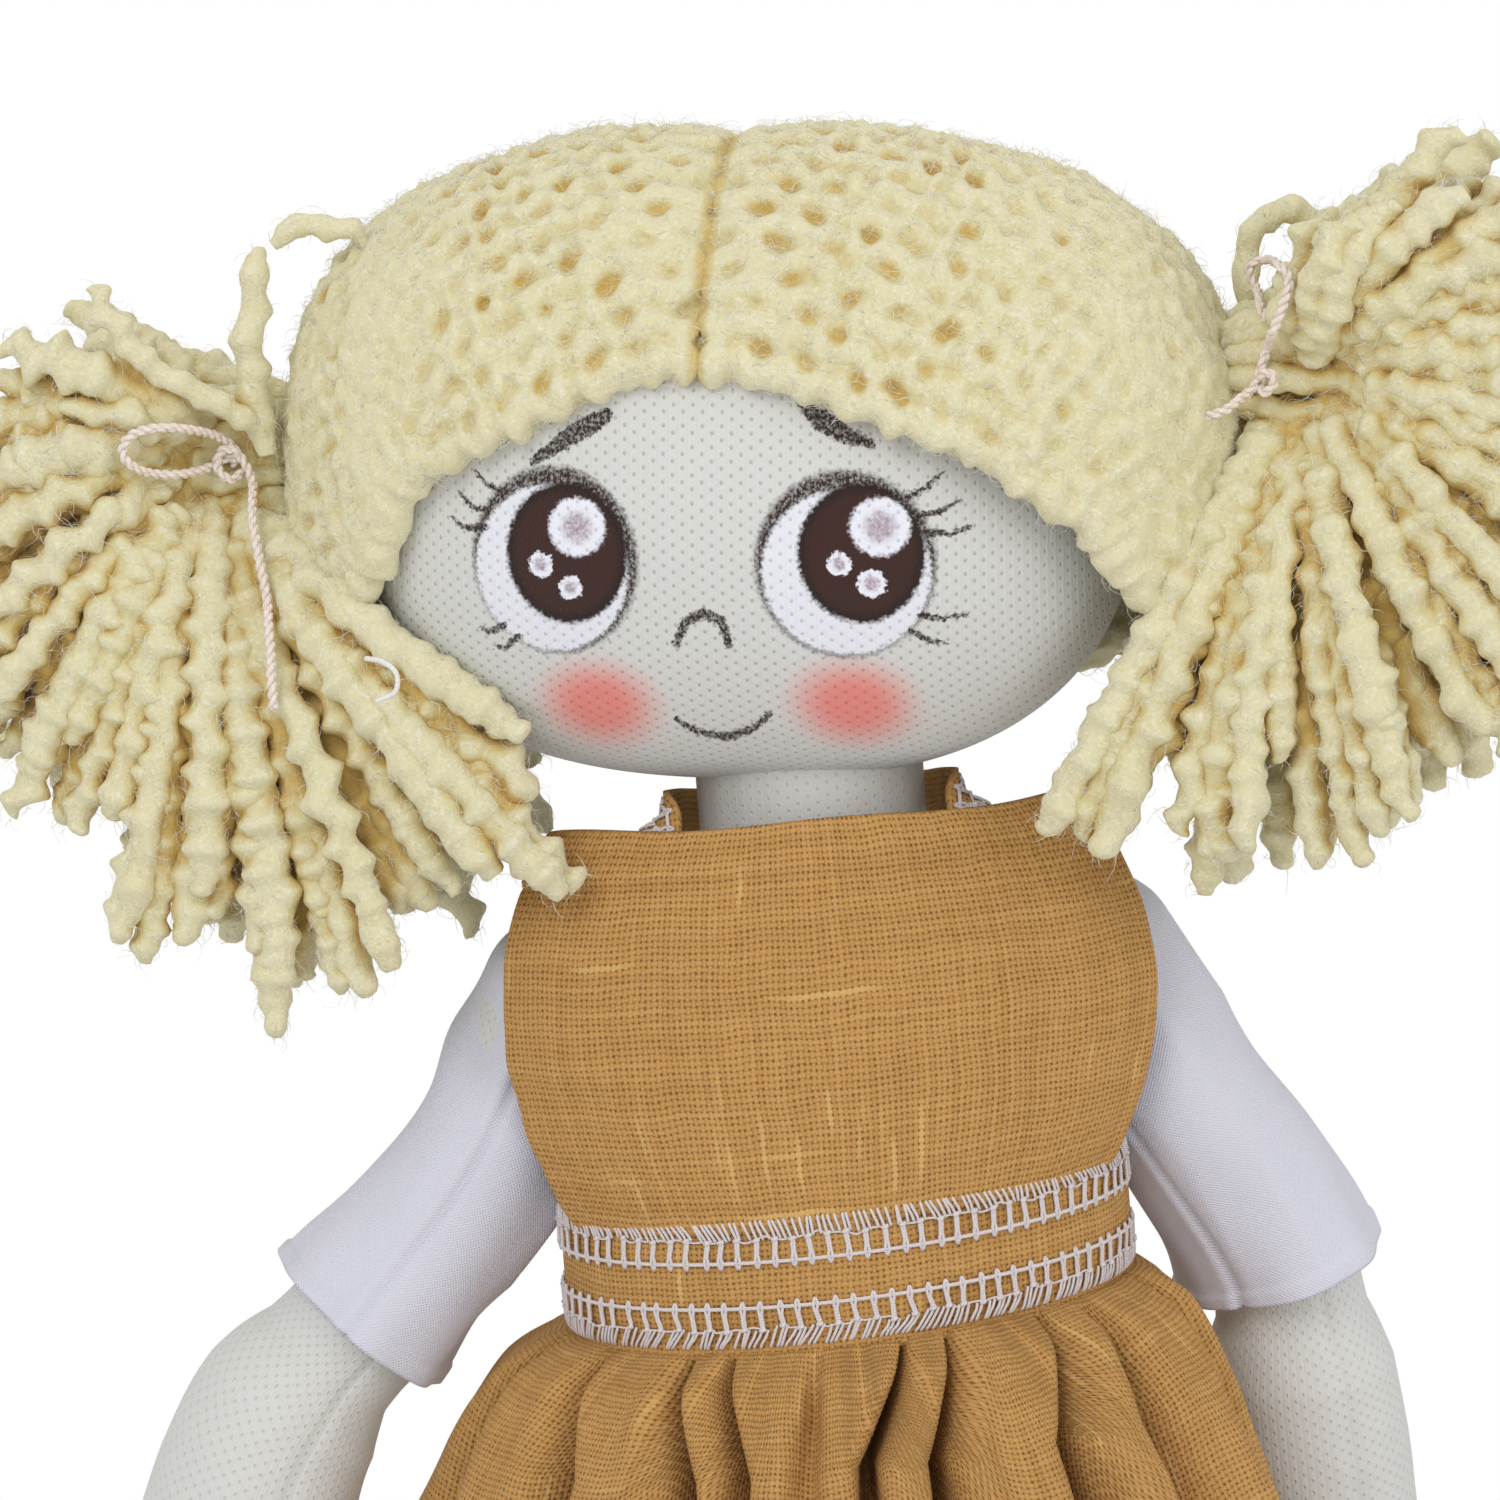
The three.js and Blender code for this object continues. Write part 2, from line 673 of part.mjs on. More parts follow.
function armCurve({ side, splay }) {
  const points = [new THREE.Vector3()];
  armStretches.forEach((length, i) => {
    const angle = radians(splay[i]);
    points.push(points[i].clone().add(
      new THREE.Vector3(side * Math.sin(angle), 0, -Math.cos(angle)).multiplyScalar(length)));
  });
  const start = points[1].clone().setLength(-upperArmRadius - sleeveWall);
  const [wrist, tip] = points.slice(-2);
  const end = tip.clone().sub(wrist).setLength(handRadius + sleeveWall).add(tip);
  return new THREE.CatmullRomCurve3([start, ...points, end]);
}

function armSolid(shape, depth) {
  const radiusAt = (share) => (
    sleeveWall + lerp(upperArmRadius, handRadius, tableAt(armSwellShares, share)));
  return beyondSeat(solidOf(limb(armCurve(shape), radiusAt, sleeveWall + depth, armSides, armSteps)),
    shape.side, shoulderPlane + clearance + sleeveWall + depth - armHalfSpan);
}

function sleeveSolid(shape, depth) {
  const radiusAt = (share) => (
    upperArmRadius + sleeveWall + sleeveFlare * tableAt(sleeveFlareShares, share));
  return beyondSeat(solidOf(limb(armCurve(shape), radiusAt, depth, armSides, armSteps)),
    shape.side, shoulderPlane + clearance + depth - armHalfSpan);
}

// Keeps a limb on its own side of the flat seat where it meets the torso
function beyondSeat(solid, side, plane) {
  const reach = hipLevel + cutOverrun;
  const edges = [side * (plane - reach), side * plane].sort((a, b) => a - b);
  return solid.subtract(solidOf(box([edges[0], -reach, -reach], [edges[1], reach, reach])));
}

// Everything past the sleeve's hem, square to the arm there
function pastHem(shape) {
  const curve = armCurve(shape);
  const share = (upperArmRadius + sleeveWall + sleeveLength) / curve.getLength();
  const far = sleeveLength + cutOverrun;
  const turn = new THREE.Quaternion().setFromUnitVectors(zAxis, curve.getTangentAt(share));
  const place = new THREE.Matrix4().compose(curve.getPointAt(share), turn, new THREE.Vector3(1, 1, 1));
  return solidOf(box([-far, -far, 0], [far, far, far]).applyMatrix4(place));
}

// Room for the thread and its knot inside the top of a limb
function threadHole(side, halfSpan) {
  return solidOf(crossBar(threadRadius + clearance, -side * halfSpan, 0));
}

function knotPocket(side) {
  return solidOf(crossBar(knotRadius + clearance, -side * (knotLength + clearance), side * clearance));
}

function armGroup(name, shape) {
  const { side, back } = shape;
  const hole = threadHole(side, armHalfSpan);
  const fillDepth = skinThickness + clearance;
  const skin = armSolid(shape, 0).subtract(armSolid(shape, skinThickness)).subtract(hole);
  const filling = armSolid(shape, fillDepth).subtract(hole).subtract(knotPocket(side));
  const sleeve = sleeveSolid(shape, 0).subtract(sleeveSolid(shape, sleeveThickness))
    .subtract(pastHem(shape)).subtract(hole);
  const group = new THREE.Group();
  group.position.set(armHalfSpan * side, shoulderBack, shoulderLevel);
  group.rotation.x = radians(back);
  group.add(piece(`arm_skin_${name}`, geometryOf(skin), finishes.skinKnit));
  group.add(piece(`arm_stuffing_${name}`, geometryOf(filling), finishes.fibrefill));
  group.add(piece(`sleeve_${name}`, geometryOf(sleeve), finishes.whiteCotton));
  return group;
}

// Legs, each in a frame with its hip at the origin
function legForm(inset) {
  const top = new THREE.Vector3(0, 0, legTopRadius);
  const bottom = new THREE.Vector3(0, 0, -hipLevel + soleThickness);
  const curve = new THREE.LineCurve3(top, bottom);
  const radiusAt = (share) => lerp(legTopRadius, ankleRadius, share);
  const shin = solidOf(limb(curve, radiusAt, inset, legSides, legSteps));
  const footMiddle = (heelReach - toeReach) / 2;
  const footHalfLength = (heelReach + toeReach) / 2;
  const rings = [];
  for (let k = 1; k < legSteps; k += 1) {
    const angle = (k / legSteps) * Math.PI;
    const size = Math.sin(angle) ** footBluntness;
    const y = footMiddle - (footHalfLength - inset) * Math.cos(angle);
    const lift = footHeight * lerp(instepShare, 1, (y - footMiddle) / footHalfLength);
    rings.push(ellipseRing(new THREE.Vector3(0, y, -hipLevel + soleThickness), xAxis, zAxis,
      (footHalfWidth - inset) * size, (Math.max(lift, footHeight / 2) - inset) * size, legSides));
  }
  return shin.add(solidOf(loft(rings)));
}

// Flat oval panel under the foot
function soleForm(inset, height) {
  const outline = new THREE.Shape().absellipse(0, (heelReach - toeReach) / 2, footHalfWidth - inset,
    (heelReach + toeReach) / 2 - inset, 0, Math.PI * 2);
  return new THREE.ExtrudeGeometry(outline, {
    depth: height, bevelEnabled: false, curveSegments: soleSegments });
}

function legSolid(side, depth) {
  const far = hipLevel + cutOverrun;
  const floor = soleThickness + clearance - hipLevel;
  return beyondSeat(legForm(depth), side, gussetHalfWidth + clearance + depth - legSpread)
    .subtract(solidOf(box([-far, -far, -far], [far, far, floor])));
}

function legGroup(name, side) {
  const hole = threadHole(side, legSpread);
  const openSole = solidOf(soleForm(skinThickness, clearance * 2)
    .translate(0, 0, soleThickness - hipLevel));
  const skin = legSolid(side, 0).subtract(legSolid(side, skinThickness)).subtract(openSole)
    .subtract(hole);
  const filling = legSolid(side, skinThickness + clearance).subtract(hole).subtract(knotPocket(side));
  const group = new THREE.Group();
  group.position.set(legSpread * side, 0, hipLevel);
  group.add(piece(`leg_skin_${name}`, geometryOf(skin), finishes.skinKnit));
  group.add(piece(`leg_stuffing_${name}`, geometryOf(filling), finishes.fibrefill));
  group.add(piece(`foot_sole_${name}`, soleForm(0, soleThickness).translate(0, 0, -hipLevel),
    finishes.skinKnit));
  return group;
}

// Waistband
function beltGeometry() {
  const section = (angle) => {
    const [u, v] = [Math.cos(angle), Math.sin(angle)];
    return [[0, beltBottomLevel], [0, beltTopLevel], [beltThickness, beltTopLevel],
      [beltThickness, beltBottomLevel]].map(([depth, level]) => (
      new THREE.Vector3((beltHalfWidth - depth) * u, (beltHalfDepth - depth) * v, level)));
  };
  return loopLoft(Array.from({ length: beltSides }, (_, i) => section((i / beltSides) * Math.PI * 2)));
}

// Bib: an upright sheet that bows round the front of the torso
function bibPoint(share, across, depth) {
  const swell = Math.sin(share * Math.PI) ** bibSwellPower;
  const base = lerp(beltHalfWidth, bibTopHalfWidth, share);
  const halfWidth = base + (bibSwellHalfWidth - base) * swell;
  const halfDepth = lerp(beltHalfDepth, bibTopHalfDepth, share ** bibDepthPower);
  const angle = radians(bibWrap) * across;
  return new THREE.Vector3((halfWidth - depth) * Math.sin(angle),
    -(halfDepth - depth) * Math.cos(angle),
    lerp(beltTopLevel + clearance, bibTopLevel, share));
}

// Closed solid from a grid of points on the front of a sheet and the same grid on its back
function slab(pointAt, rowShares, columns) {
  const layers = [0, 1].map((layer) => rowShares.map((share) => (
    Array.from({ length: columns + 1 }, (_, i) => pointAt(share, (i / columns) * 2 - 1, layer)))));
  const wide = columns + 1;
  const count = rowShares.length * wide;
  const at = (layer, row, column) => layer * count + row * wide + column;
  const faces = [];
  const quad = (a, b, c, d) => faces.push([a, b, c], [a, c, d]);
  const lastRow = rowShares.length - 1;
  for (let r = 0; r < lastRow; r += 1) {
    for (let c = 0; c < columns; c += 1) {
      quad(at(0, r, c), at(0, r, c + 1), at(0, r + 1, c + 1), at(0, r + 1, c));
      quad(at(1, r, c), at(1, r + 1, c), at(1, r + 1, c + 1), at(1, r, c + 1));
    }
    quad(at(0, r, 0), at(0, r + 1, 0), at(1, r + 1, 0), at(1, r, 0));
    quad(at(0, r, columns), at(1, r, columns), at(1, r + 1, columns), at(0, r + 1, columns));
  }
  for (let c = 0; c < columns; c += 1) {
    quad(at(0, 0, c), at(1, 0, c), at(1, 0, c + 1), at(0, 0, c + 1));
    quad(at(0, lastRow, c), at(0, lastRow, c + 1), at(1, lastRow, c + 1), at(1, lastRow, c));
  }
  return surface(layers.flat(2), faces);
}

function bibGeometry() {
  return slab((share, across, layer) => bibPoint(share, across, layer * bibThickness),
    bibRowShares, bibColumns);
}

// Neck strap: a band that rises from inside the bib's top edge and runs behind the neck
function strapGeometry() {
  const otherSide = strapRoute.slice(0, -1).reverse().map(([out, back, level, facing]) => (
    [-out, back, level, straightAngle - facing]));
  const route = [...strapRoute, ...otherSide];
  const curve = new THREE.CatmullRomCurve3(route.map(([out, back, level]) => (
    new THREE.Vector3(out, back, neckPivotLevel + level))));
  const facings = route.map((row, i) => [i / (route.length - 1), row[route[0].length - 1]]);
  return loft(Array.from({ length: strapSteps + 1 }, (_, i) => {
    const share = i / strapSteps;
    const angle = radians(tableAt(facings, share));
    const face = new THREE.Vector3(Math.cos(angle), Math.sin(angle), 0);
    const along = curve.getTangent(share);
    const across = new THREE.Vector3().crossVectors(along, face).normalize();
    const outward = new THREE.Vector3().crossVectors(across, along).normalize();
    return [[-1, 0], [1, 0], [1, 1], [-1, 1]].map(([edge, layer]) => curve.getPoint(share)
      .addScaledVector(across, (edge * strapWidth) / 2)
      .addScaledVector(outward, (layer - 0.5) * strapThickness));
  }));
}

// Skirt: a gathered cone of cloth with soft folds, pushed in where the left arm hangs behind it
function skirtPoint(share, turn, depth) {
  const angle = turn * Math.PI * 2;
  const flare = share ** skirtFlarePower;
  const wave = Math.cos(skirtFolds * angle + foldWander * Math.sin(foldWanders * angle));
  const fold = wave * lerp(gatherDepth, foldDepth, share);
  const halfWidth = lerp(beltHalfWidth, hemHalfWidth, flare) + fold;
  const halfDepth = lerp(beltHalfDepth, hemHalfDepth, flare) + fold;
  const pastDent = THREE.MathUtils.radToDeg(angle) - armDentAngle + fullAngle;
  const fromDent = (pastDent + straightAngle) % fullAngle - straightAngle;
  const dent = armDentDepth * Math.exp(-((fromDent / armDentSpread) ** 2) / 2)
    * Math.sin(Math.PI * Math.min(1, share / armDentEnd)) ** armDentPower;
  const radius = (halfWidth * halfDepth)
    / Math.hypot(halfDepth * Math.cos(angle), halfWidth * Math.sin(angle)) - dent - depth;
  const level = lerp(beltBottomLevel - clearance, hemLevel, share);
  return new THREE.Vector3(radius * Math.cos(angle), radius * Math.sin(angle), level);
}

function skirtGeometry() {
  const rows = [...skirtRowShares.map((share) => [share, 0]),
    ...skirtRowShares.map((share) => [share, skirtThickness]).reverse()];
  return loopLoft(rows.map(([share, depth]) => (
    Array.from({ length: skirtSides }, (_, i) => skirtPoint(share, i / skirtSides, depth)))));
}

function dressPieces() {
  return [
    piece('waistband', beltGeometry(), finishes.linen),
    piece('bodice_bib', bibGeometry(), finishes.linen),
    piece('neck_strap', strapGeometry(), finishes.linen),
    piece('skirt', skirtGeometry(), finishes.linen),
  ];
}

const doll = new THREE.Group();
doll.add(...torsoPieces(), neckPieces(), headGroup());
Object.entries(arms).forEach(([name, shape]) => doll.add(armGroup(name, shape)));
doll.add(piece('hip_thread', knottedThread(legSpread - knotLength).translate(0, 0, hipLevel),
  finishes.strongThread));
doll.add(legGroup('right', -1), legGroup('left', 1));
doll.add(...dressPieces());

export default doll;
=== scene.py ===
# A stuffed cloth doll with yarn hair in a linen pinafore: its surfaces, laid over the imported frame.
# Lengths are in millimetres and become metres as each mesh is made. The doll's left is +X, and it faces -Y.

import math
from functools import reduce

import bpy
import numpy as np
from mathutils import Matrix, Vector


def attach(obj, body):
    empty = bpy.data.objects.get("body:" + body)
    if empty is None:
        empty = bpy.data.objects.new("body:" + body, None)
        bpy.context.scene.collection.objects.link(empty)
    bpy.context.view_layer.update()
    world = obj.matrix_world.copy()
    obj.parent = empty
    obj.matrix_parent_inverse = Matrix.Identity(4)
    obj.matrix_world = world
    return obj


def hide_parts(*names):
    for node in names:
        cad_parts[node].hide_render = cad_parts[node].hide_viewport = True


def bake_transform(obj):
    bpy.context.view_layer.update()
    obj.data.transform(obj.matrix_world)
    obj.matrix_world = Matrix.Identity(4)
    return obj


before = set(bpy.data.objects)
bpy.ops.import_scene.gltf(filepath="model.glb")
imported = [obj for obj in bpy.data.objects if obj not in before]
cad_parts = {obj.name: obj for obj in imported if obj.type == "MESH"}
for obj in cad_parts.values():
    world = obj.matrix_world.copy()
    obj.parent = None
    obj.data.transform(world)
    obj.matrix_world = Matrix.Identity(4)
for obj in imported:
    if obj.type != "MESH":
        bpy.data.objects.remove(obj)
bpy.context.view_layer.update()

MM = 0.001
TURN = 2 * math.pi

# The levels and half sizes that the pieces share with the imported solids
BELT_BOTTOM, BELT_TOP = 153.6, 170.2
NECK_PIVOT = 205
BIB_TOP = 213.5
BELT_HALVES = (33.8, 22.9)
HEAD_CENTRE = (-5.5, -1.5, 254.5)
HEAD_ROLL, HEAD_TURN = 5, -9
HEAD_HALVES = (47.2, 30.5, 37)
HAIR_HALVES = (58.5, 35, 40.6)
HAIR_SHIFT = 3
HEAD_POWER, HEAD_DEPTH_POWER = 2.5, 2.15


# Points and curves
def rng_for(name):
    """A random source of its own for each piece, the same in every run"""
    return np.random.default_rng(sum(ord(c) * (i + 1) for i, c in enumerate(name)))


def smooth_step(low, high, x):
    t = np.clip((np.asarray(x, float) - low) / (high - low), 0, 1)
    return t * t * (3 - 2 * t)


def hump(x, middle, width):
    """A round rise from 0 to 1 and back, with its top at middle"""
    return np.exp(-((x - middle) / width) ** 2)


def unit(vectors):
    return vectors / (np.linalg.norm(vectors, axis=-1, keepdims=True) + 1e-12)


def circle(count):
    """Angles evenly round a full turn"""
    return np.arange(count) / count * TURN


def lengths_along(path):
    return np.r_[0, np.cumsum(np.linalg.norm(np.diff(path, axis=0), axis=1))]


def spline(points, count):
    """Evenly spaced points on a smooth curve through the given ones"""
    p = np.asarray(points, float)
    p = np.vstack([2 * p[0] - p[1], p, 2 * p[-1] - p[-2]])
    t = np.linspace(0, 1, 24, endpoint=False)[:, None]
    out = [0.5 * (2 * b + (c - a) * t + (2 * a - 5 * b + 4 * c - d) * t ** 2
                  + (3 * b - a - 3 * c + d) * t ** 3) for a, b, c, d in zip(p[:-3], p[1:-2], p[2:-1], p[3:])]
    dense = np.vstack([*out, p[-2][None]])
    along = lengths_along(dense)
    even = np.linspace(0, along[-1], count)
    return np.stack([np.interp(even, along, dense[:, k]) for k in range(3)], 1)


def frames_along(path):
    """Two square directions at each point of a path, turning no more than the path does"""
    tangents = unit(np.gradient(path, axis=0))
    start = np.cross(tangents[0], (0.3, 0.2, 0.93))
    if np.linalg.norm(start) < 0.1:
        start = np.cross(tangents[0], (1, 0, 0))
    normals = np.empty_like(path)
    normals[0] = unit(start)
    for i in range(1, len(path)):
        normals[i] = unit(normals[i - 1] - tangents[i] * (normals[i - 1] @ tangents[i]))
    return tangents, normals, np.cross(tangents, normals)


def cell_corners(place, eased=False):
    """The eight whole-numbered places round each one, each with its share in a mix of them"""
    base = np.floor(place).astype(np.int64)
    part = place - base
    if eased:
        part = smooth_step(0, 1, part)
    for corner in range(8):
        bits = np.array([corner & 1, corner >> 1 & 1, corner >> 2 & 1])
        yield base + bits, np.prod(np.where(bits, part, 1 - part), axis=-1)


def value_noise(points, size, seed):
    """Smooth noise from -1 to 1 at points, with lumps of the given size"""
    total = 0
    for cell, share in cell_corners(np.asarray(points, float) / size, eased=True):
        hashed = (cell[..., 0] * 374761393 + cell[..., 1] * 668265263 + cell[..., 2] * 2147483647
                  + seed * 1274126177) & 0xFFFFFFFF
        hashed = ((hashed ^ (hashed >> 13)) * 1103515245) & 0xFFFFFFFF
        total = total + share * (((hashed ^ (hashed >> 16)) & 0xFFFF) / 32767.5 - 1)
    return total


# How close strands lie, counted in cells, for the painted shade where they crowd
CROWD_CELL, CROWD_OUT, CROWD_MARGIN = 1.0, 1.5, 6
BLUR_SHARES = (0.06, 0.12, 0.2, 0.24, 0.2, 0.12, 0.06)


class Cells:
    """A grid of cells over the room that strands take up"""

    def __init__(self, strands):
        self.low = strands.min(axis=0) - CROWD_MARGIN
        self.size = np.ceil((strands.max(axis=0) + CROWD_MARGIN - self.low) / CROWD_CELL).astype(int)
        cells = np.floor((strands - self.low) / CROWD_CELL).astype(int)
        self.strands = tuple(np.clip(cells, 0, self.size - 1).T)

    def sample(self, grid, points):
        """Value of the grid at points, mixed from the eight cells round each"""
        place = np.clip((points - self.low) / CROWD_CELL - 0.5, 0, self.size - 1.001)
        return sum(share * grid[tuple(cell.T)] for cell, share in cell_corners(place))

    def crowding(self, points):
        """Share of the room round each point that strands fill"""
        grid = np.zeros(self.size)
        grid[self.strands] = 1
        for axis in range(3):
            grid = sum(share * np.roll(grid, shift, axis) for shift, share in enumerate(BLUR_SHARES, -3))
        return self.sample(grid, points)

    def nearby(self, values, points):
        """Mean of the values of the strands near each point"""
        total, count = np.zeros(self.size), np.zeros(self.size)
        np.add.at(total, self.strands, values)
        np.add.at(count, self.strands, 1)
        return self.sample(total, points) / np.maximum(self.sample(count, points), 1e-6)


# Meshes
def fetched(items, key, width=1, kind=np.float64):
    """One property of every item of a mesh, as an array"""
    values = np.empty(len(items) * width, kind)
    items.foreach_get(key, values)
    return values if width == 1 else values.reshape(-1, width)


def lay_cloth(mesh, places, name="cloth"):
    """Give each corner of each face its place on the flat cloth, in millimetres"""
    mesh.uv_layers.new(name=name).data.foreach_set("uv", places.astype(np.float32).ravel())


def new_object(name, data):
    made = bpy.data.objects.new(name, data)
    bpy.context.scene.collection.objects.link(made)
    return made


def reshaped(mesh, *steps):
    """The mesh after some modifiers, each given as its kind and its settings"""
    carrier = new_object("carrier", mesh)
    for kind, settings in steps:
        modifier = carrier.modifiers.new(kind.lower(), kind)
        for key, value in settings.items():
            setattr(modifier, key, value)
    graph = bpy.context.evaluated_depsgraph_get()
    made = bpy.data.meshes.new_from_object(carrier.evaluated_get(graph))
    bpy.data.objects.remove(carrier)
    bpy.data.meshes.remove(mesh)
    return made


def remeshed(voxel):
    return "REMESH", {"mode": "VOXEL", "voxel_size": voxel * MM}


def smoothed(rounds):
    return "SMOOTH", {"factor": 0.5, "iterations": rounds}


class Shape:
    """The points, faces and cloth coordinates of one piece, gathered from grids of points. Each point has a
    tone and a painted shade value, which its material reads."""

    def __init__(self):
        self.points, self.corners, self.sizes, self.cloth, self.values = [], [], [], [], []
        self.cores = []
        self.count = 0

    def add(self, points, faces, cloth, tone, painted_shade):
        """faces holds arrays of faces with the same number of corners"""
        for face in faces:
            self.corners.append((self.count + face).ravel())
            self.sizes.append(np.full(len(face), face.shape[1]))
        self.cloth.append(cloth)
        flat = points.reshape(-1, 3)
        self.points.append(flat)
        self.values.append(np.stack([np.broadcast_to(np.asarray(v, float), points.shape[:-1]).ravel()
                                     for v in (tone, painted_shade)], 1))
        self.count += len(flat)

    def grid(self, points, closed=False, cloth=None, capped=False, tone=0.0, painted_shade=0.0):
        points = np.asarray(points, float)
        rows, columns = points.shape[:2]
        wide = columns if closed else columns - 1
        r, c = (a.ravel() for a in np.meshgrid(np.arange(rows - 1), np.arange(wide), indexing="ij"))
        corner_rows = np.stack([r, r, r + 1, r + 1], 1)
        corner_columns = np.stack([c, c + 1, c + 1, c], 1)
        faces = [corner_rows * columns + corner_columns % columns]
        if cloth is None:
            cloth = np.zeros((rows, columns + 1, 2))
        corners = [cloth[corner_rows, corner_columns].reshape(-1, 2)]
        if capped:
            ring = np.arange(columns)[None]
            faces += [ring[:, ::-1], ring + (rows - 1) * columns]
            corners += [cloth[0, :columns][::-1], cloth[-1, :columns]]
        self.add(points, faces, np.concatenate(corners), tone, painted_shade)
        return self

    def fibres(self, rings, tone, painted_shade):
        """Many thin closed tubes of the same size: an array of (tubes, rings, sides, 3)"""
        tubes, rows, sides = rings.shape[:3]
        r, c = (a.ravel() for a in np.meshgrid(np.arange(rows - 1), np.arange(sides), indexing="ij"))
        across = (c + 1) % sides
        one = np.stack([r * sides + c, r * sides + across, (r + 1) * sides + across, (r + 1) * sides + c], 1)
        starts = (np.arange(tubes) * rows * sides)[:, None]
        ends = [starts + np.arange(sides)[None, ::-1], starts + (rows - 1) * sides + np.arange(sides)[None]]
        cloth = np.zeros((tubes * (len(one) * 4 + 2 * sides), 2))
        self.add(rings, [(starts[:, None] + one[None]).reshape(-1, 4), *ends], cloth, tone, painted_shade)

    def mesh(self, name):
        points, corners, sizes = (np.concatenate(part) for part in (self.points, self.corners, self.sizes))
        mesh = bpy.data.meshes.new(name)
        mesh.vertices.add(len(points))
        mesh.vertices.foreach_set("co", (points * MM).astype(np.float32).ravel())
        mesh.loops.add(len(corners))
        mesh.loops.foreach_set("vertex_index", corners.astype(np.int32))
        mesh.polygons.add(len(sizes))
        mesh.polygons.foreach_set("loop_start", np.r_[0, np.cumsum(sizes)[:-1]].astype(np.int32))
        mesh.update(calc_edges=True)
        return mesh

    def painted_crowd_shade(self, points, normals, open_level, deep_level):
        """Painted shade: 0 where a place is crowded no more than the open level, and 1 from the deep level on
        """
        cells = Cells(np.concatenate([*self.points, *self.cores]))
        return smooth_step(open_level, deep_level, cells.crowding(points + normals * CROWD_OUT))

    def felt(self, voxel, rounds, open_level, deep_level):
        """Melt the strands so far into one soft skin, with painted shade from its crowding"""
        strands = np.concatenate(self.points)
        tones = np.concatenate(self.values)[:, 0]
        skin = reshaped(self.mesh("strands"), remeshed(voxel), smoothed(rounds))
        points, normals = fetched(skin.vertices, "co", 3) / MM, fetched(skin.vertex_normals, "vector", 3)
        corners, starts = (fetched(items, key, kind=np.int32).astype(np.int64) for items, key in (
            (skin.loops, "vertex_index"), (skin.polygons, "loop_start")))
        bpy.data.meshes.remove(skin)
        sizes = np.diff(np.r_[starts, len(corners)])
        faces = [corners[starts[sizes == size][:, None] + np.arange(size)] for size in np.unique(sizes)]
        tone = Cells(strands).nearby(tones, points)
        painted_shade = self.painted_crowd_shade(points, normals, open_level, deep_level)
        self.__init__()
        self.add(points, faces, np.zeros((len(corners), 2)), tone, painted_shade)

    def shade(self, open_level, deep_level):
        """Set the painted shade from the crowding, and leave the strands as they are"""
        mesh = self.mesh("strands")
        normals = fetched(mesh.vertex_normals, "vector", 3)
        bpy.data.meshes.remove(mesh)
        points, values = np.concatenate(self.points), np.concatenate(self.values)
        values[:, 1] = self.painted_crowd_shade(points, normals, open_level, deep_level)
        self.points, self.values = [points], [values]

    def piece(self, name, material, slot, body=None, replaces=(), fill=None):
        mesh = self.mesh(name)
        lay_cloth(mesh, np.vstack(self.cloth))
        for k, key in enumerate(("tone", "painted_shade")):
            values = mesh.attributes.new(key, "FLOAT", "POINT")
            values.data.foreach_set("value", np.concatenate(self.values)[:, k].astype(np.float32))
        return settle(name, mesh, material, body, replaces)


def settle(name, mesh, material, body=None, replaces=()):
    """Make a mesh a piece of the doll"""
    mesh.shade_smooth()
    mesh.materials.clear()
    mesh.materials.append(material)
    obj = new_object(name, mesh)
    if body:
        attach(obj, body)
    if replaces:
        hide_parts(*replaces)
    return obj


def tube_rings(path, radius, sides, guide=None):
    """Rings of points round a path; radius is one value or one for each point. The rings stay square to the
    guide, a smoother path, so that a tight wave only shifts them."""
    _, normals, others = frames_along(path if guide is None else guide)
    angles = circle(sides)[None, :, None]
    radius = np.broadcast_to(np.asarray(radius, float), (len(path),))[:, None, None]
    return path[:, None] + radius * (np.cos(angles) * normals[:, None] + np.sin(angles) * others[:, None])


def tube_cloth(path, sides, girth):
    along = lengths_along(path)
    u = np.arange(sides + 1) / sides * girth
    return np.stack(np.broadcast_arrays(u[None, :], along[:, None]), -1)


def add_tube(shape, path, radius, sides=6, tone=0.0, guide=None, lumps=None):
    """A closed tube along a path. lumps gives the height and the size of the bumps on it."""
    rings = tube_rings(path, radius, sides, guide)
    shape.cores += [path, ((rings[:, ::2] + path[:, None]) / 2).reshape(-1, 3)]
    if lumps:
        height, size = lumps
        rise = height * value_noise(rings, size, 17) + 0.4 * height * value_noise(rings, size * 0.42, 18)
        rings = rings + (rings - path[:, None]) * (rise / np.maximum(radius, 0.5)[:, None])[..., None]
    cloth = tube_cloth(path, sides, TURN * float(np.mean(radius)))
    shape.grid(rings, closed=True, capped=True, cloth=cloth, tone=tone)


# Stray fibres: radius, rings of points and sides of each, and the room between them and their longest reach
FUZZ_RADIUS, FUZZ_RINGS, FUZZ_SIDES = 0.04, 4, 3
FUZZ_SPACING, FUZZ_REACH = 1.5, 1.6
# Tone of the stray fibres, and a painted shade value of -1, which paints them near white as a painted
# highlight
FUZZ_TONE, FUZZ_PAINTED_HIGHLIGHT = 0.9, -1.0


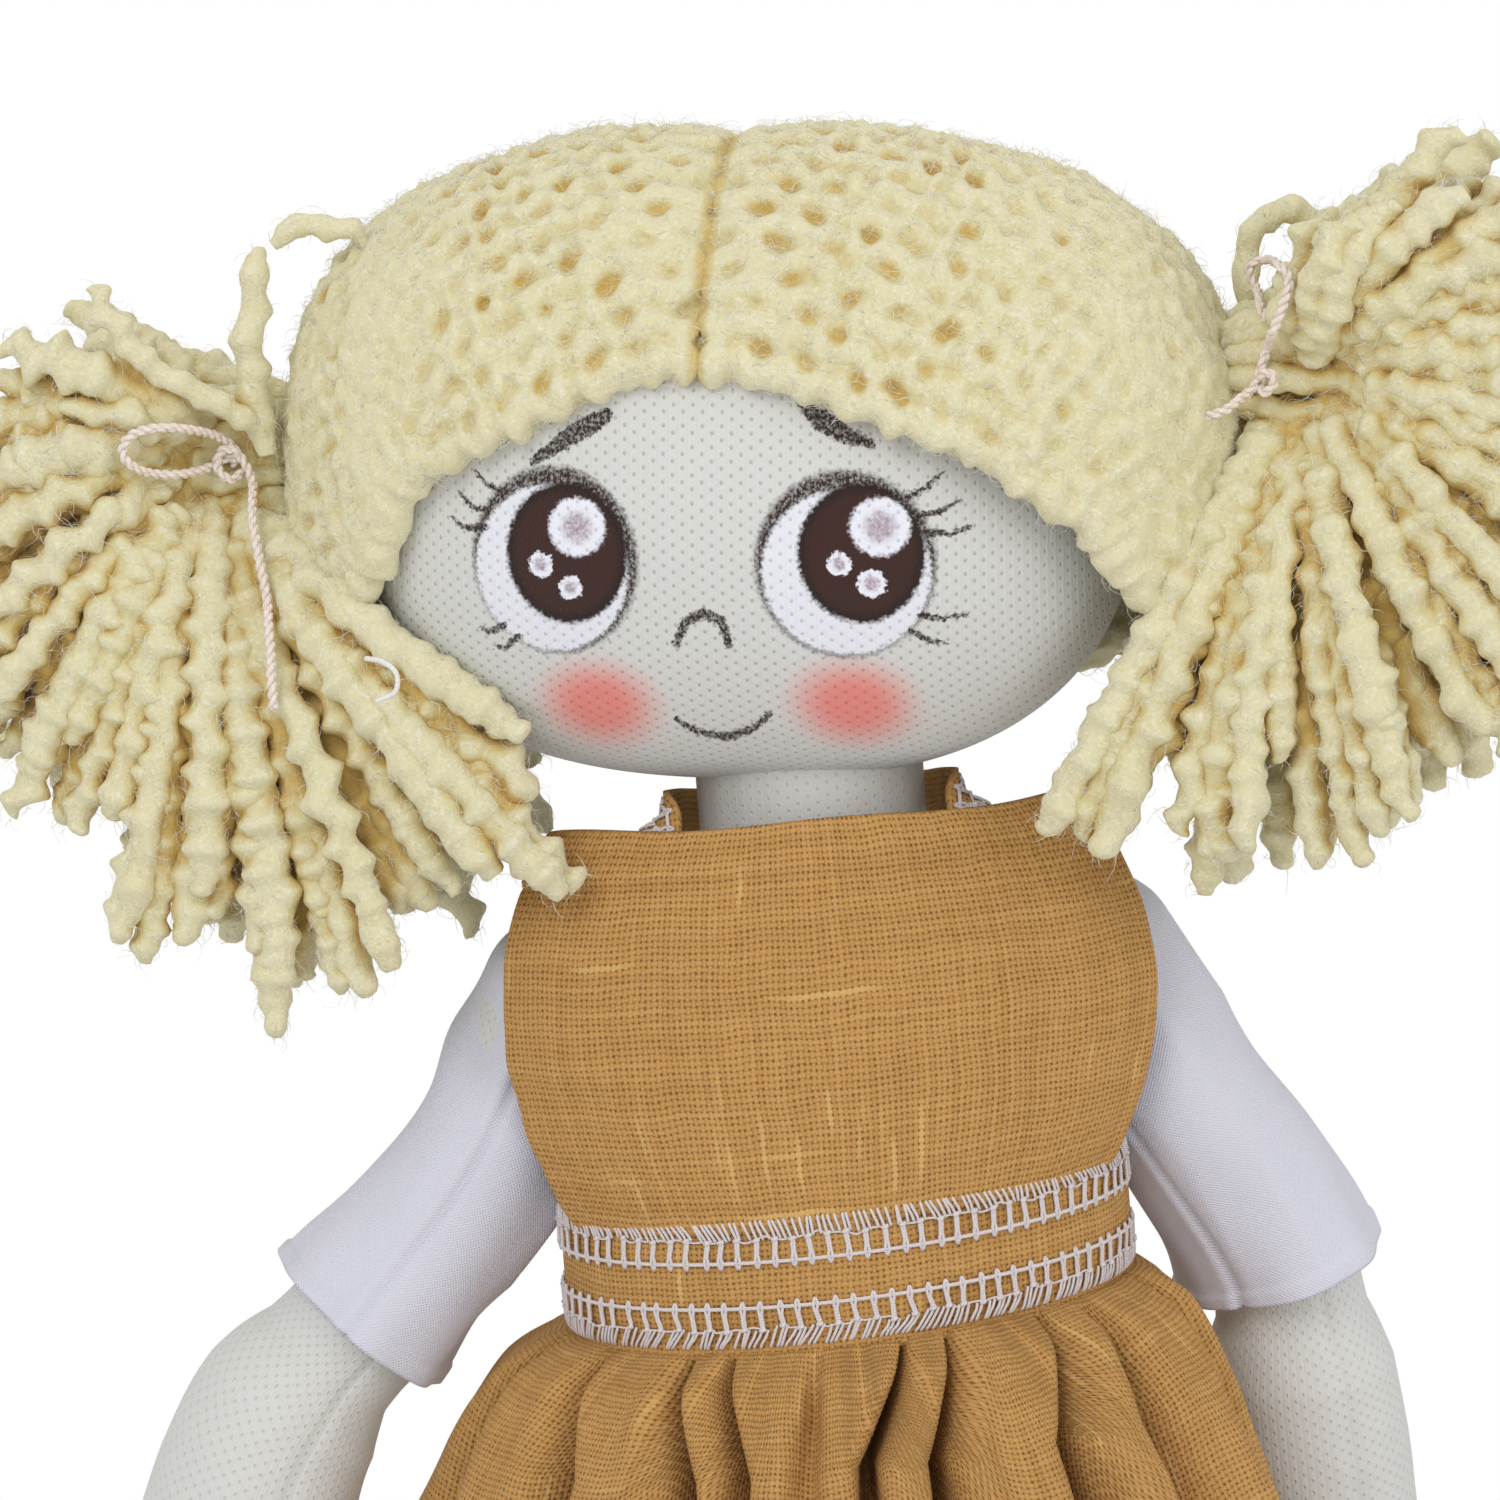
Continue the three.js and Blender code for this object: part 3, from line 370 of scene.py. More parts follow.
def add_fuzz(shape, yarns, spacing, rng):
    """Stray fibres that curl off the yarn. yarns holds each strand's path, its radius at each point and the
    direction that it shows."""
    starts, ways, outs = [], [], []
    for path, radius, shown in yarns:
        count = rng.poisson(lengths_along(path)[-1] * TURN * float(np.mean(radius)) / spacing)
        if not count:
            continue
        tangents, normals, others = frames_along(path)
        at = rng.integers(0, len(path), count)
        turn = rng.uniform(0, TURN, count)
        out = np.cos(turn)[:, None] * normals[at] + np.sin(turn)[:, None] * others[at]
        seen = np.sum(out * shown[at], axis=1) > -0.25
        at, out = at[seen], out[seen]
        starts.append(path[at] + out * (np.broadcast_to(radius, len(path))[at] - 0.15)[:, None])
        lean = rng.normal(0, 1.3, len(at))[:, None]
        sign = rng.choice((-1, 1), len(at))[:, None]
        ways.append(tangents[at] * sign + np.cross(tangents[at], out) * lean)
        outs.append(out)
    start, way, out = (np.concatenate(part) for part in (starts, ways, outs))
    way = unit(way)
    single = (len(start), 1, 1)
    along = np.linspace(0, 1, FUZZ_RINGS)[None, :, None]
    length = rng.uniform(0.4, 1.5, single) * FUZZ_REACH
    rise = rng.uniform(0.15, 0.45, single) * length
    bend = np.cross(way, out)[:, None] * rng.normal(0, 0.5, single) * length
    path = (start[:, None] + way[:, None] * along * length
            + out[:, None] * rise * np.sin(along * math.pi * rng.uniform(0.55, 1.05, single))
            + bend * along ** 2)
    ahead = unit(np.gradient(path, axis=1))
    first = unit(np.cross(ahead, out[:, None]))
    second = np.cross(ahead, first)
    angles = circle(FUZZ_SIDES)[None, None, :, None]
    ring = np.cos(angles) * first[:, :, None] + np.sin(angles) * second[:, :, None]
    taper = (FUZZ_RADIUS * (1 - 0.6 * along))[..., None]
    shape.fibres(path[:, :, None] + ring * taper, FUZZ_TONE, FUZZ_PAINTED_HIGHLIGHT)


def thick_sheet(front, back, cloth):
    """Grid of points round a sheet of cloth: its front, then its back in the opposite order"""
    return np.concatenate([front, back[::-1]]), np.concatenate([cloth, cloth[::-1]])


def closed(grid, axis=0):
    """The grid with its first row, or with axis 1 its first column, again at the end"""
    return np.concatenate([grid, grid.take([0], axis)], axis)


# Materials
class Value:
    """A number inside a shader, for sums that read as in plain code"""

    def __init__(self, shader, socket):
        self.shader, self.socket = shader, socket

    def __add__(self, other):
        return self.shader.math("ADD", self, other)

    def __sub__(self, other):
        return self.shader.math("SUBTRACT", self, other)

    def __rsub__(self, other):
        return self.shader.math("SUBTRACT", other, self)

    def __mul__(self, other):
        return self.shader.math("MULTIPLY", self, other)

    def __truediv__(self, other):
        return self.shader.math("DIVIDE", self, other)


class Shader:
    """Builds the nodes of a material, or of another node tree"""

    def __init__(self, name, tree=None):
        if tree is None:
            self.material = bpy.data.materials.new(name)
            self.material.use_nodes = True
            tree = self.material.node_tree
        self.tree = tree
        self.tree.nodes.clear()

    def node(self, kind, inputs=(), **settings):
        made = self.tree.nodes.new(kind)
        for key, value in settings.items():
            setattr(made, key, value)
        for key, value in dict(inputs).items():
            self.feed(made.inputs[key], value)
        return made

    def feed(self, socket, value):
        if isinstance(value, Value):
            value = value.socket
        if isinstance(value, bpy.types.NodeSocket):
            self.tree.links.new(value, socket)
        else:
            socket.default_value = value

    def value(self, kind, output, inputs=(), **settings):
        """One output of a new node"""
        return Value(self, self.node(kind, inputs, **settings).outputs[output])

    def math(self, operation, *values, clamp=False):
        return self.value("ShaderNodeMath", 0, enumerate(values), operation=operation, use_clamp=clamp)

    def vector(self, operation, *values, result="Vector"):
        return self.value("ShaderNodeVectorMath", result, enumerate(values), operation=operation)

    def step(self, value, low, high):
        """0 below low, 1 above high, smooth between"""
        return self.value("ShaderNodeMapRange", "Result", {"Value": value, "From Min": low, "From Max": high},
                          interpolation_type="SMOOTHSTEP")

    def wave(self, value):
        return self.math("SINE", value * TURN)

    def thread(self, value):
        """The round tops of threads that lie side by side, one for each whole number"""
        return self.math("ABSOLUTE", self.math("SINE", value * math.pi))

    def odd(self, value):
        """1 for odd whole numbers, 0 for even ones"""
        return self.math("MODULO", value, 2.0)

    def mix(self, factor, first, second):
        made = self.node("ShaderNodeMix", data_type="RGBA")
        for key, value in (("Factor_Float", factor), ("A_Color", first), ("B_Color", second)):
            self.feed(next(s for s in made.inputs if s.identifier == key), value)
        return Value(self, next(s for s in made.outputs if s.identifier == "Result_Color"))

    def cloth(self, name="cloth"):
        return self.value("ShaderNodeUVMap", "UV", uv_map=name)

    def split(self, vector):
        made = self.node("ShaderNodeSeparateXYZ", {"Vector": vector})
        return Value(self, made.outputs["X"]), Value(self, made.outputs["Y"])

    def join(self, x, y, z=0.0):
        return self.value("ShaderNodeCombineXYZ", "Vector", {"X": x, "Y": y, "Z": z})

    def noise(self, vector, scale=1.0, detail=2.0, rough=0.5, output="Fac"):
        return self.value("ShaderNodeTexNoise", output, {
            "Vector": vector, "Scale": scale, "Detail": detail, "Roughness": rough})

    def scaled(self, vector, *factors):
        return self.vector("MULTIPLY", vector, tuple(factors) + (1.0,) * (3 - len(factors)))

    def attribute(self, name):
        return self.value("ShaderNodeAttribute", "Fac", attribute_name=name)

    def places(self):
        """Place on the doll, in millimetres"""
        return self.scaled(self.value("ShaderNodeTexCoord", "Object"), 1 / MM, 1 / MM, 1 / MM)

    def output(self, kind, surface):
        made = self.node(kind)
        self.tree.links.new(surface.outputs[0], made.inputs["Surface"])

    def finish(self, colour, height, bump=0.1, roughness=0.9, sheen=0.0, sheen_tint=(1, 1, 1, 1)):
        bumps = self.value("ShaderNodeBump", "Normal", {
            "Height": height, "Distance": bump * MM, "Strength": 1.0})
        self.output("ShaderNodeOutputMaterial", self.node("ShaderNodeBsdfPrincipled", {
            "Base Color": colour, "Roughness": roughness, "Specular IOR Level": 0.25, "Normal": bumps,
            "Sheen Weight": sheen, "Sheen Roughness": 0.6, "Sheen Tint": sheen_tint}))
        return self.material


def colour_of(red, green, blue):
    """Linear colour from 0-255 screen values"""
    return tuple((c / 255 / 12.92) if c <= 10 else ((c / 255 + 0.055) / 1.055) ** 2.4
                 for c in (red, green, blue)) + (1.0,)


KNIT_COLUMN, KNIT_ROW = 1.1, 1.57
LINEN_PITCH = 0.7
COTTON_PITCH = 0.45


def knit_pattern(s, cloth):
    """Holes of the fine knitted mesh, in staggered columns, and its height"""
    u, v = s.split(cloth)
    column = u / KNIT_COLUMN
    row = v / KNIT_ROW + s.odd(s.math("FLOOR", column)) * 0.5
    across, along = (s.math("FRACT", column) - 0.5) * 4.4, (s.math("FRACT", row) - 0.5) * 4.6
    from_hole = s.vector("LENGTH", s.join(across, along), result="Value")
    hole = 1.0 - s.step(from_hole, 0.25, 0.95)
    return hole, s.wave(row) * 0.12 + s.thread(column) * 0.35 - hole


def skin_colours(s, hole):
    base = s.mix(s.noise(s.places(), 0.06), colour_of(210, 210, 207), colour_of(216, 216, 213))
    return s.mix(hole * 0.3, base, colour_of(188, 181, 158))


def skin_material():
    s = Shader("skin_knit")
    hole, height = knit_pattern(s, s.cloth())
    return s.finish(skin_colours(s, hole), height, bump=0.1, roughness=0.88, sheen=0.15)


def linen_material():
    """Plain weave with uneven threads and slubs, a painted highlight on the threads' tops, painted shade in
    the pits where threads cross, and painted shade inside the folds
    """
    s = Shader("linen")
    u, v = s.split(s.cloth())
    wobble = (s.noise(s.scaled(s.cloth(), 0.12, 0.12)) - 0.5) * 1.2
    x, y = (u + wobble) / LINEN_PITCH, (v + wobble) / LINEN_PITCH
    warp, weft = s.math("FLOOR", x), s.math("FLOOR", y)
    over = s.odd(warp + weft)
    height = s.math("MAXIMUM", s.thread(x) * (over * 0.6 + 0.4), s.thread(y) * (over * -0.6 + 1.0))
    corner = s.join(s.math("ROUND", x), s.math("ROUND", y))
    from_corner = s.vector("DISTANCE", s.join(x, y), corner, result="Value")
    chance = s.value("ShaderNodeTexWhiteNoise", "Value", {"Vector": corner}, noise_dimensions="3D")
    pit = 1.0 - s.step(from_corner / (s.math("POWER", chance, 2.0) * 0.16 + 0.13), 0.3, 1.1)
    threads = s.noise(s.join(warp * 3.7, v * 0.035)) + s.noise(s.join(u * 0.035, weft * 3.7, 9.0))
    blend = s.math("ADD", threads * 1.3, -0.8, clamp=True)
    slub_warp = s.step(s.noise(s.join(warp * 0.83, v * 0.05, 4.0)), 0.63, 0.74)
    slub_weft = s.step(s.noise(s.join(u * 0.04, weft * 0.79, 7.0)), 0.66, 0.76)
    slub = s.math("MAXIMUM", slub_warp, slub_weft) * 0.55
    base = s.mix(blend, colour_of(168, 122, 64), colour_of(200, 152, 90))
    base = s.mix(slub, base, colour_of(228, 190, 122))
    # Painted highlight on the tops of the threads
    base = s.mix(s.step(height, 0.55, 1.0) * 0.3, base, colour_of(220, 172, 106))
    # Painted shade in the pits where threads cross
    base = s.mix(pit * 0.6, base, colour_of(112, 72, 30))
    # Painted shade inside the skirt's folds
    base = s.mix(s.attribute("painted_shade") * 0.6, base, colour_of(116, 72, 36))
    return s.finish(base, slub * 0.5 + height - pit, bump=0.16, sheen=0.12,
                    sheen_tint=colour_of(230, 200, 150))


def cotton_material():
    s = Shader("white_cotton")
    u, v = s.split(s.cloth())
    base = s.mix(s.noise(s.places(), 0.05), colour_of(215, 215, 228), colour_of(224, 224, 236))
    weave = s.wave(u / COTTON_PITCH) * s.wave(v / COTTON_PITCH)
    return s.finish(base, weave, bump=0.05, roughness=0.85, sheen=0.1)


def yarn_material():
    """Cream wool, with painted shade, darker and golden, where strands crowd together; stray fibres have a
    painted shade value of -1, which paints them near white as a painted highlight
    """
    s = Shader("yarn")
    tone, painted_shade = s.attribute("tone"), s.attribute("painted_shade")
    fibres = s.noise(s.scaled(s.places(), 1.9, 1.9, 1.9), detail=4.0, rough=0.68)
    light = s.math("ADD", s.noise(s.places(), 0.25) * 0.9, tone * 0.35, clamp=True)
    deep = s.math("ADD", painted_shade, (fibres - 0.5) * -0.6, clamp=True)
    base = s.mix(light, colour_of(226, 216, 168), colour_of(234, 227, 190))
    base = s.mix(s.step(fibres, 0.48, 0.68) * 0.6, base, colour_of(249, 246, 230))
    # Painted shade: tan, then dark gold, where strands crowd, broken up by the fibres' noise
    base = s.mix(s.step(deep, 0.0, 0.55) * 0.6, base, colour_of(218, 202, 140))
    base = s.mix(s.step(deep, 0.45, 1.0) * 0.9, base, colour_of(216, 182, 98))
    # Painted highlight: stray fibres, with a painted shade value of -1, go near white
    base = s.mix(s.step(painted_shade, -0.4, -0.9), base, colour_of(254, 252, 242))
    return s.finish(base, fibres, bump=0.34, roughness=0.95, sheen=0.3, sheen_tint=colour_of(250, 246, 220))


def thread_material(name, light, dark, pitch=0.5, bump=0.12):
    s = Shader(name)
    u, v = s.split(s.cloth())
    fleck = s.noise(s.scaled(s.cloth(), 1.4, 0.5), detail=3.0)
    twist = s.wave((u * 1.2 + v) / pitch)
    return s.finish(s.mix(fleck, dark, light), twist, bump=bump, roughness=0.85, sheen=0.15)


# Face, drawn on the head's cloth. Places are in millimetres right of and above the head's middle.
class Brush:
    """Marks on the face, as masks from 0 to 1"""

    def __init__(self, shader, place):
        self.s = shader
        self.group = self.segment_group()
        rough = shader.noise(place, 2.2, detail=1.0, output="Color")
        shift = shader.scaled(shader.vector("SUBTRACT", rough, (0.5, 0.5, 0.5)), 1.0, 1.0, 0.0)
        self.place = shader.vector("ADD", place, shift)
        self.plain = place
        specks = shader.noise(shader.scaled(place, 2.6, 1.9), detail=3.0, rough=0.7)
        self.grain = shader.step(specks, 0.36, 0.56) * 0.5 + 0.5

    @staticmethod
    def segment_group():
        """Distance to a tapering stroke from A to B, less its radius there, as a mark"""
        tree = bpy.data.node_groups.new("stroke", "ShaderNodeTree")
        for name, kind in (("Place", "Vector"), ("A", "Vector"), ("B", "Vector"), ("Start", "Float"),
                           ("End", "Float")):
            tree.interface.new_socket(name, in_out="INPUT", socket_type=f"NodeSocket{kind}")
        tree.interface.new_socket("Mark", in_out="OUTPUT", socket_type="NodeSocketFloat")
        s = Shader("stroke", tree)
        given = s.node("NodeGroupInput").outputs
        start, end = (Value(s, given[key]) for key in ("Start", "End"))
        along = s.vector("SUBTRACT", given["B"], given["A"])
        out = s.vector("SUBTRACT", given["Place"], given["A"])
        share = s.math("DIVIDE", s.vector("DOT_PRODUCT", out, along, result="Value"),
                       s.vector("DOT_PRODUCT", along, along, result="Value"), clamp=True)
        reached = s.value("ShaderNodeVectorMath", 0, {0: along, "Scale": share}, operation="SCALE")
        near = s.vector("DISTANCE", out, reached, result="Value")
        radius = start + share * (end - start)
        s.node("NodeGroupOutput", {"Mark": 1.0 - s.step(near - radius, -0.12, 0.22)})
        return tree

    def lines(self, strokes):
        """Strokes, each given as its points and a radius at each"""
        marks = [self.s.value("ShaderNodeGroup", 0, {"Place": self.place, "A": (*a, 0), "B": (*b, 0),
                                                     "Start": start, "End": end}, node_tree=self.group)
                 for points, radii in strokes
                 for a, b, start, end in zip(points, points[1:], radii, radii[1:])]
        return reduce(lambda first, second: self.s.math("MAXIMUM", first, second), marks) * self.grain

    def spot(self, centre, halves, edge=0.05, plain=False):
        """An oval, with an edge as soft as the given share of its size"""
        s = self.s
        out = s.vector("SUBTRACT", self.plain if plain else self.place, (*centre, 0))
        size = s.vector("LENGTH", s.vector("DIVIDE", out, (*halves, 1)), result="Value")
        return 1.0 - s.step(size, 1 - edge, 1 + edge)


# Each eye: its outline, white and iris as centre and half sizes, its lights as centre and radius, its lashes
EYES = {
    "right": {
        "outline": ((-16.6, -10.0), (9.8, 10.7)), "white": ((-17.0, -10.9), (9.0, 9.5)),
        "iris": ((-15.1, -9.1), (7.1, 8.0)),
        "lights": [((-13.8, -6.1), 3.3), ((-18.1, -10.5), 1.45), ((-14.7, -13.0), 1.35)],
        "lashes": [[(-24.4, -4.6), (-26.3, -4.3), (-28.0, -2.6)],
                   [(-22.6, -2.4), (-24.4, -1.6), (-26.0, -0.2)],
                   [(-24.9, -6.6), (-27.5, -6.6), (-29.0, -5.4)],
                   [(-23.0, -17.6), (-24.9, -18.6), (-26.0, -18.1)],
                   [(-21.3, -18.9), (-23.0, -20.3), (-24.4, -20.2)]],
    },
    "left": {
        "outline": ((16.4, -9.9), (10.0, 10.6)), "white": ((16.5, -10.8), (9.3, 9.4)),
        "iris": ((18.2, -8.6), (7.0, 7.9)),
        "lights": [((20.3, -5.6), 3.3), ((15.8, -9.8), 1.35), ((19.3, -12.0), 1.6)],
        "lashes": [[(23.4, -2.2), (25.2, -1.3), (27.0, 0.6)], [(24.8, -4.2), (26.8, -3.9), (29.0, -2.6)],
                   [(25.7, -6.2), (28.0, -6.4), (30.0, -5.6)], [(24.6, -15.6), (27.0, -16.0), (29.6, -15.6)],
                   [(23.4, -17.4), (25.4, -18.6), (27.4, -18.9)]],
    },
}
LASH_RADII = [0.36, 0.26, 0.12]
# Strokes: their points, and a radius at each
BROWS = [([(-10.4, 6.5), (-12.6, 5.3), (-15.4, 3.5), (-18.9, 1.2)], [0.7, 1.15, 0.9, 0.4]),
         ([(11.9, 7.9), (13.8, 6.2), (16.2, 4.8), (19.3, 3.6)], [0.7, 1.15, 0.95, 0.45])]
NOSE = ([(-2.8, -19.2), (-1.6, -16.6), (0.5, -15.6), (2.5, -16.4), (3.2, -19.3)],
        [0.38, 0.5, 0.55, 0.52, 0.38])
MOUTH = ([(-3.8, -28.3), (-1.9, -29.6), (0.4, -30.3), (2.6, -30.3), (4.9, -29.3), (7.2, -27.3)],
         [0.25, 0.42, 0.46, 0.46, 0.4, 0.25])
BLUSHES = [(-12.6, -26.7), (16.6, -26.1)]
BLUSH_HALVES = (5.8, 4.4)
INK, IRIS, RIM = colour_of(50, 34, 30), colour_of(60, 36, 31), colour_of(38, 25, 22)
WHITE, BLUSH = colour_of(230, 231, 238), colour_of(233, 128, 118)
EYE_LIGHT, LIGHT_CORE = colour_of(236, 236, 246), colour_of(132, 102, 108)
FACE_HOLE = colour_of(60, 50, 40)


def face_material():
    s = Shader("face")
    hole, height = knit_pattern(s, s.cloth())
    colour = skin_colours(s, hole)
    brush = Brush(s, s.cloth("face"))
    for centre in BLUSHES:
        colour = s.mix(brush.spot(centre, BLUSH_HALVES, edge=0.62, plain=True) * 0.9, colour, BLUSH)
    for eye in EYES.values():
        colour = s.mix(brush.spot(*eye["outline"]) * brush.grain, colour, INK)
        colour = s.mix(brush.spot(*eye["white"], edge=0.035), colour, WHITE)
        centre, halves = eye["iris"]
        colour = s.mix(brush.spot(centre, halves), colour, RIM)
        colour = s.mix(brush.spot(centre, [half * 0.88 for half in halves], edge=0.12), colour, IRIS)
        for centre, radius in eye["lights"]:
            colour = s.mix(brush.spot(centre, (radius, radius), edge=0.1), colour, EYE_LIGHT)
            core = brush.spot(centre, (radius * 0.5, radius * 0.5), edge=0.5) * brush.grain
            colour = s.mix(core * 0.7, colour, LIGHT_CORE)
        colour = s.mix(brush.lines([(points, LASH_RADII) for points in eye["lashes"]]), colour, INK)
    colour = s.mix(brush.lines([*BROWS, NOSE, MOUTH]), colour, INK)
    colour = s.mix(hole * 0.3, colour, s.mix(0.55, colour, FACE_HOLE))
    return s.finish(colour, height, bump=0.11, roughness=0.88, sheen=0.12)


SKIN, LINEN, COTTON, YARN = skin_material(), linen_material(), cotton_material(), yarn_material()
TWINE = thread_material("twine", colour_of(250, 240, 231), colour_of(236, 218, 204), pitch=0.8, bump=0.05)
OVERLOCK = thread_material("overlock_thread", colour_of(243, 236, 236), colour_of(228, 216, 215), pitch=0.35,
                           bump=0.04)
STRONG = thread_material("strong_thread", colour_of(250, 248, 244), colour_of(240, 238, 234), bump=0.04)


# Head
HEAD_MATRIX = np.array(Matrix.Translation(HEAD_CENTRE) @ Matrix.Rotation(math.radians(HEAD_ROLL), 4, "Y")
                       @ Matrix.Rotation(math.radians(HEAD_TURN), 4, "Z"))
OFF_FACE = 200


def to_head(points):
    return (points - HEAD_MATRIX[:3, 3]) @ HEAD_MATRIX[:3, :3]


def from_head(points):
    """Points of the head's own frame, put where the head is"""
    return np.asarray(points) @ HEAD_MATRIX[:3, :3].T + HEAD_MATRIX[:3, 3]


def rounded_size(x, y, z, halves):
    """1 on the head's rounded form of the given half sizes, and less inside it"""
    x, y, z = (np.abs(place) / half for place, half in zip((x, y, z), halves))
    return (x ** HEAD_POWER + z ** HEAD_POWER) ** (HEAD_DEPTH_POWER / HEAD_POWER) + y ** HEAD_DEPTH_POWER


def length_from_middle(places, half, depth):
    """Length along the head's front from its middle to each place across it"""
    t = np.linspace(0, 0.995, 400)
    profile = np.stack([t * half, depth * (1 - t ** HEAD_DEPTH_POWER) ** (1 / HEAD_DEPTH_POWER)], 1)
    return np.sign(places) * np.interp(np.abs(places), t * half, lengths_along(profile))


def make_head():
    lift, around = np.linspace(-math.pi / 2, math.pi / 2, 201)[1:-1, None], circle(360)[None, :]
    a, d, c = HEAD_HALVES
    directions = np.stack(np.broadcast_arrays(
        a * np.cos(lift) * np.sin(around), d * np.cos(lift) * np.cos(around), c * np.sin(lift)), -1)
    size = rounded_size(*np.moveaxis(directions, -1, 0), HEAD_HALVES)
    local = directions * (size ** (-1 / HEAD_DEPTH_POWER))[..., None]
    cloth = np.stack([length_from_middle(local[..., 0], a, d), length_from_middle(local[..., 2], c, d)], -1)
    head = Shape().grid(from_head(local), closed=True, cloth=closed(cloth, 1), capped=True)
    piece = head.piece("head_cloth", face_material(), "skin_knit", "head", ["head_skin", "head_stuffing"],
                       fill=1.0)
    face = np.where(local[..., 1:2] < 0, local[..., [0, 2]], OFF_FACE).reshape(-1, 2)
    lay_cloth(piece.data, face[fetched(piece.data.loops, "vertex_index", kind=np.int32)], "face")


# Knitted hair: rows of wavy yarn from the parting to the ties
HAIRLINES = {
    "right": [(0, 12.1), (5.9, 11.2), (11.2, 9.2), (16.5, 6.8), (26, 2), (33, -2.2), (36, -6.4), (38, -12),
              (41, -17), (60, -17)],
    "left": [(0, 12.1), (5, 11.6), (12.8, 9), (17, 7.3), (25, 4.6), (31.3, 1.8), (37, -2.6), (43.4, -6.6),
             (46.2, -11.8), (49.5, -16.5), (60, -17)],
}
NAPE_LINE = [(0, -28.9), (30, -28.9), (50, -22), (62, -12)]
ROW_COUNT = 31
STITCH_LENGTH = 5.6
ROW_YARN = 2.05
HAIR_EYE_SHARE = -0.44
ROW_SWING = 0.13
STITCH_LIFT = 0.22
# Thickness of the rows as a share of the room between them, and the least and the largest
ROW_SHARE, ROW_LIMITS = 0.575, (0.8, 2.3)
# Height and size of the bumps on the rows of yarn
ROW_LUMPS = (0.34, 2.1)
PARTING_HALF, PARTING_DIP, CROWN_SINK = 0.9, 0.8, 0.8
PARTING_GROOVE, PARTING_GROOVE_WIDTHS = 1.3, (2.6, 0.4)
LINING_DEPTHS, LINING_FOLLOW = (2.75, 4.8), 0.72
PARTING_SHADE, PARTING_SHADE_WIDTHS = 0.75, (1.5, 0.5)
HAIR_VOXEL, HAIR_ROUNDS = 0.5, 1
# Crowding at which the hair's painted shade starts, and at which it is full
HAIR_OPEN, HAIR_DEEP = 0.22, 0.6


def hair_surface(x, angle, sink):
    """Point of the hair's surface: x across the head, angle up from straight ahead about a low middle"""
    a, _, c = HAIR_HALVES
    across = x - HAIR_SHIFT
    middle = HAIR_EYE_SHARE * c * (1 - np.clip(np.abs(across) / a, 0, 1) ** HEAD_POWER) ** (1 / HEAD_POWER)
    halves = np.moveaxis(np.array(HAIR_HALVES) - np.asarray(sink)[..., None], -1, 0)
    near, far = np.zeros_like(x), np.full_like(x, 90.0)
    for _ in range(34):
        reach = (near + far) / 2
        inside = rounded_size(across, reach * np.cos(angle), middle + reach * np.sin(angle), halves) < 1
        near, far = np.where(inside, reach, near), np.where(inside, far, reach)
    return np.stack([x, -near * np.cos(angle), middle + near * np.sin(angle)], -1)


def angle_at_line(x, line, low, high):
    """Angle between low and high at which the hair's surface meets a line of places across and levels"""
    level = np.interp(np.abs(x), *np.array(line).T)
    low, high = np.full_like(x, low), np.full_like(x, high)
    for _ in range(24):
        angle = (low + high) / 2
        under = hair_surface(x, angle, np.full_like(x, 1.2))[..., 2] < level
        low, high = np.where(under, angle, low), np.where(under, high, angle)
    return angle


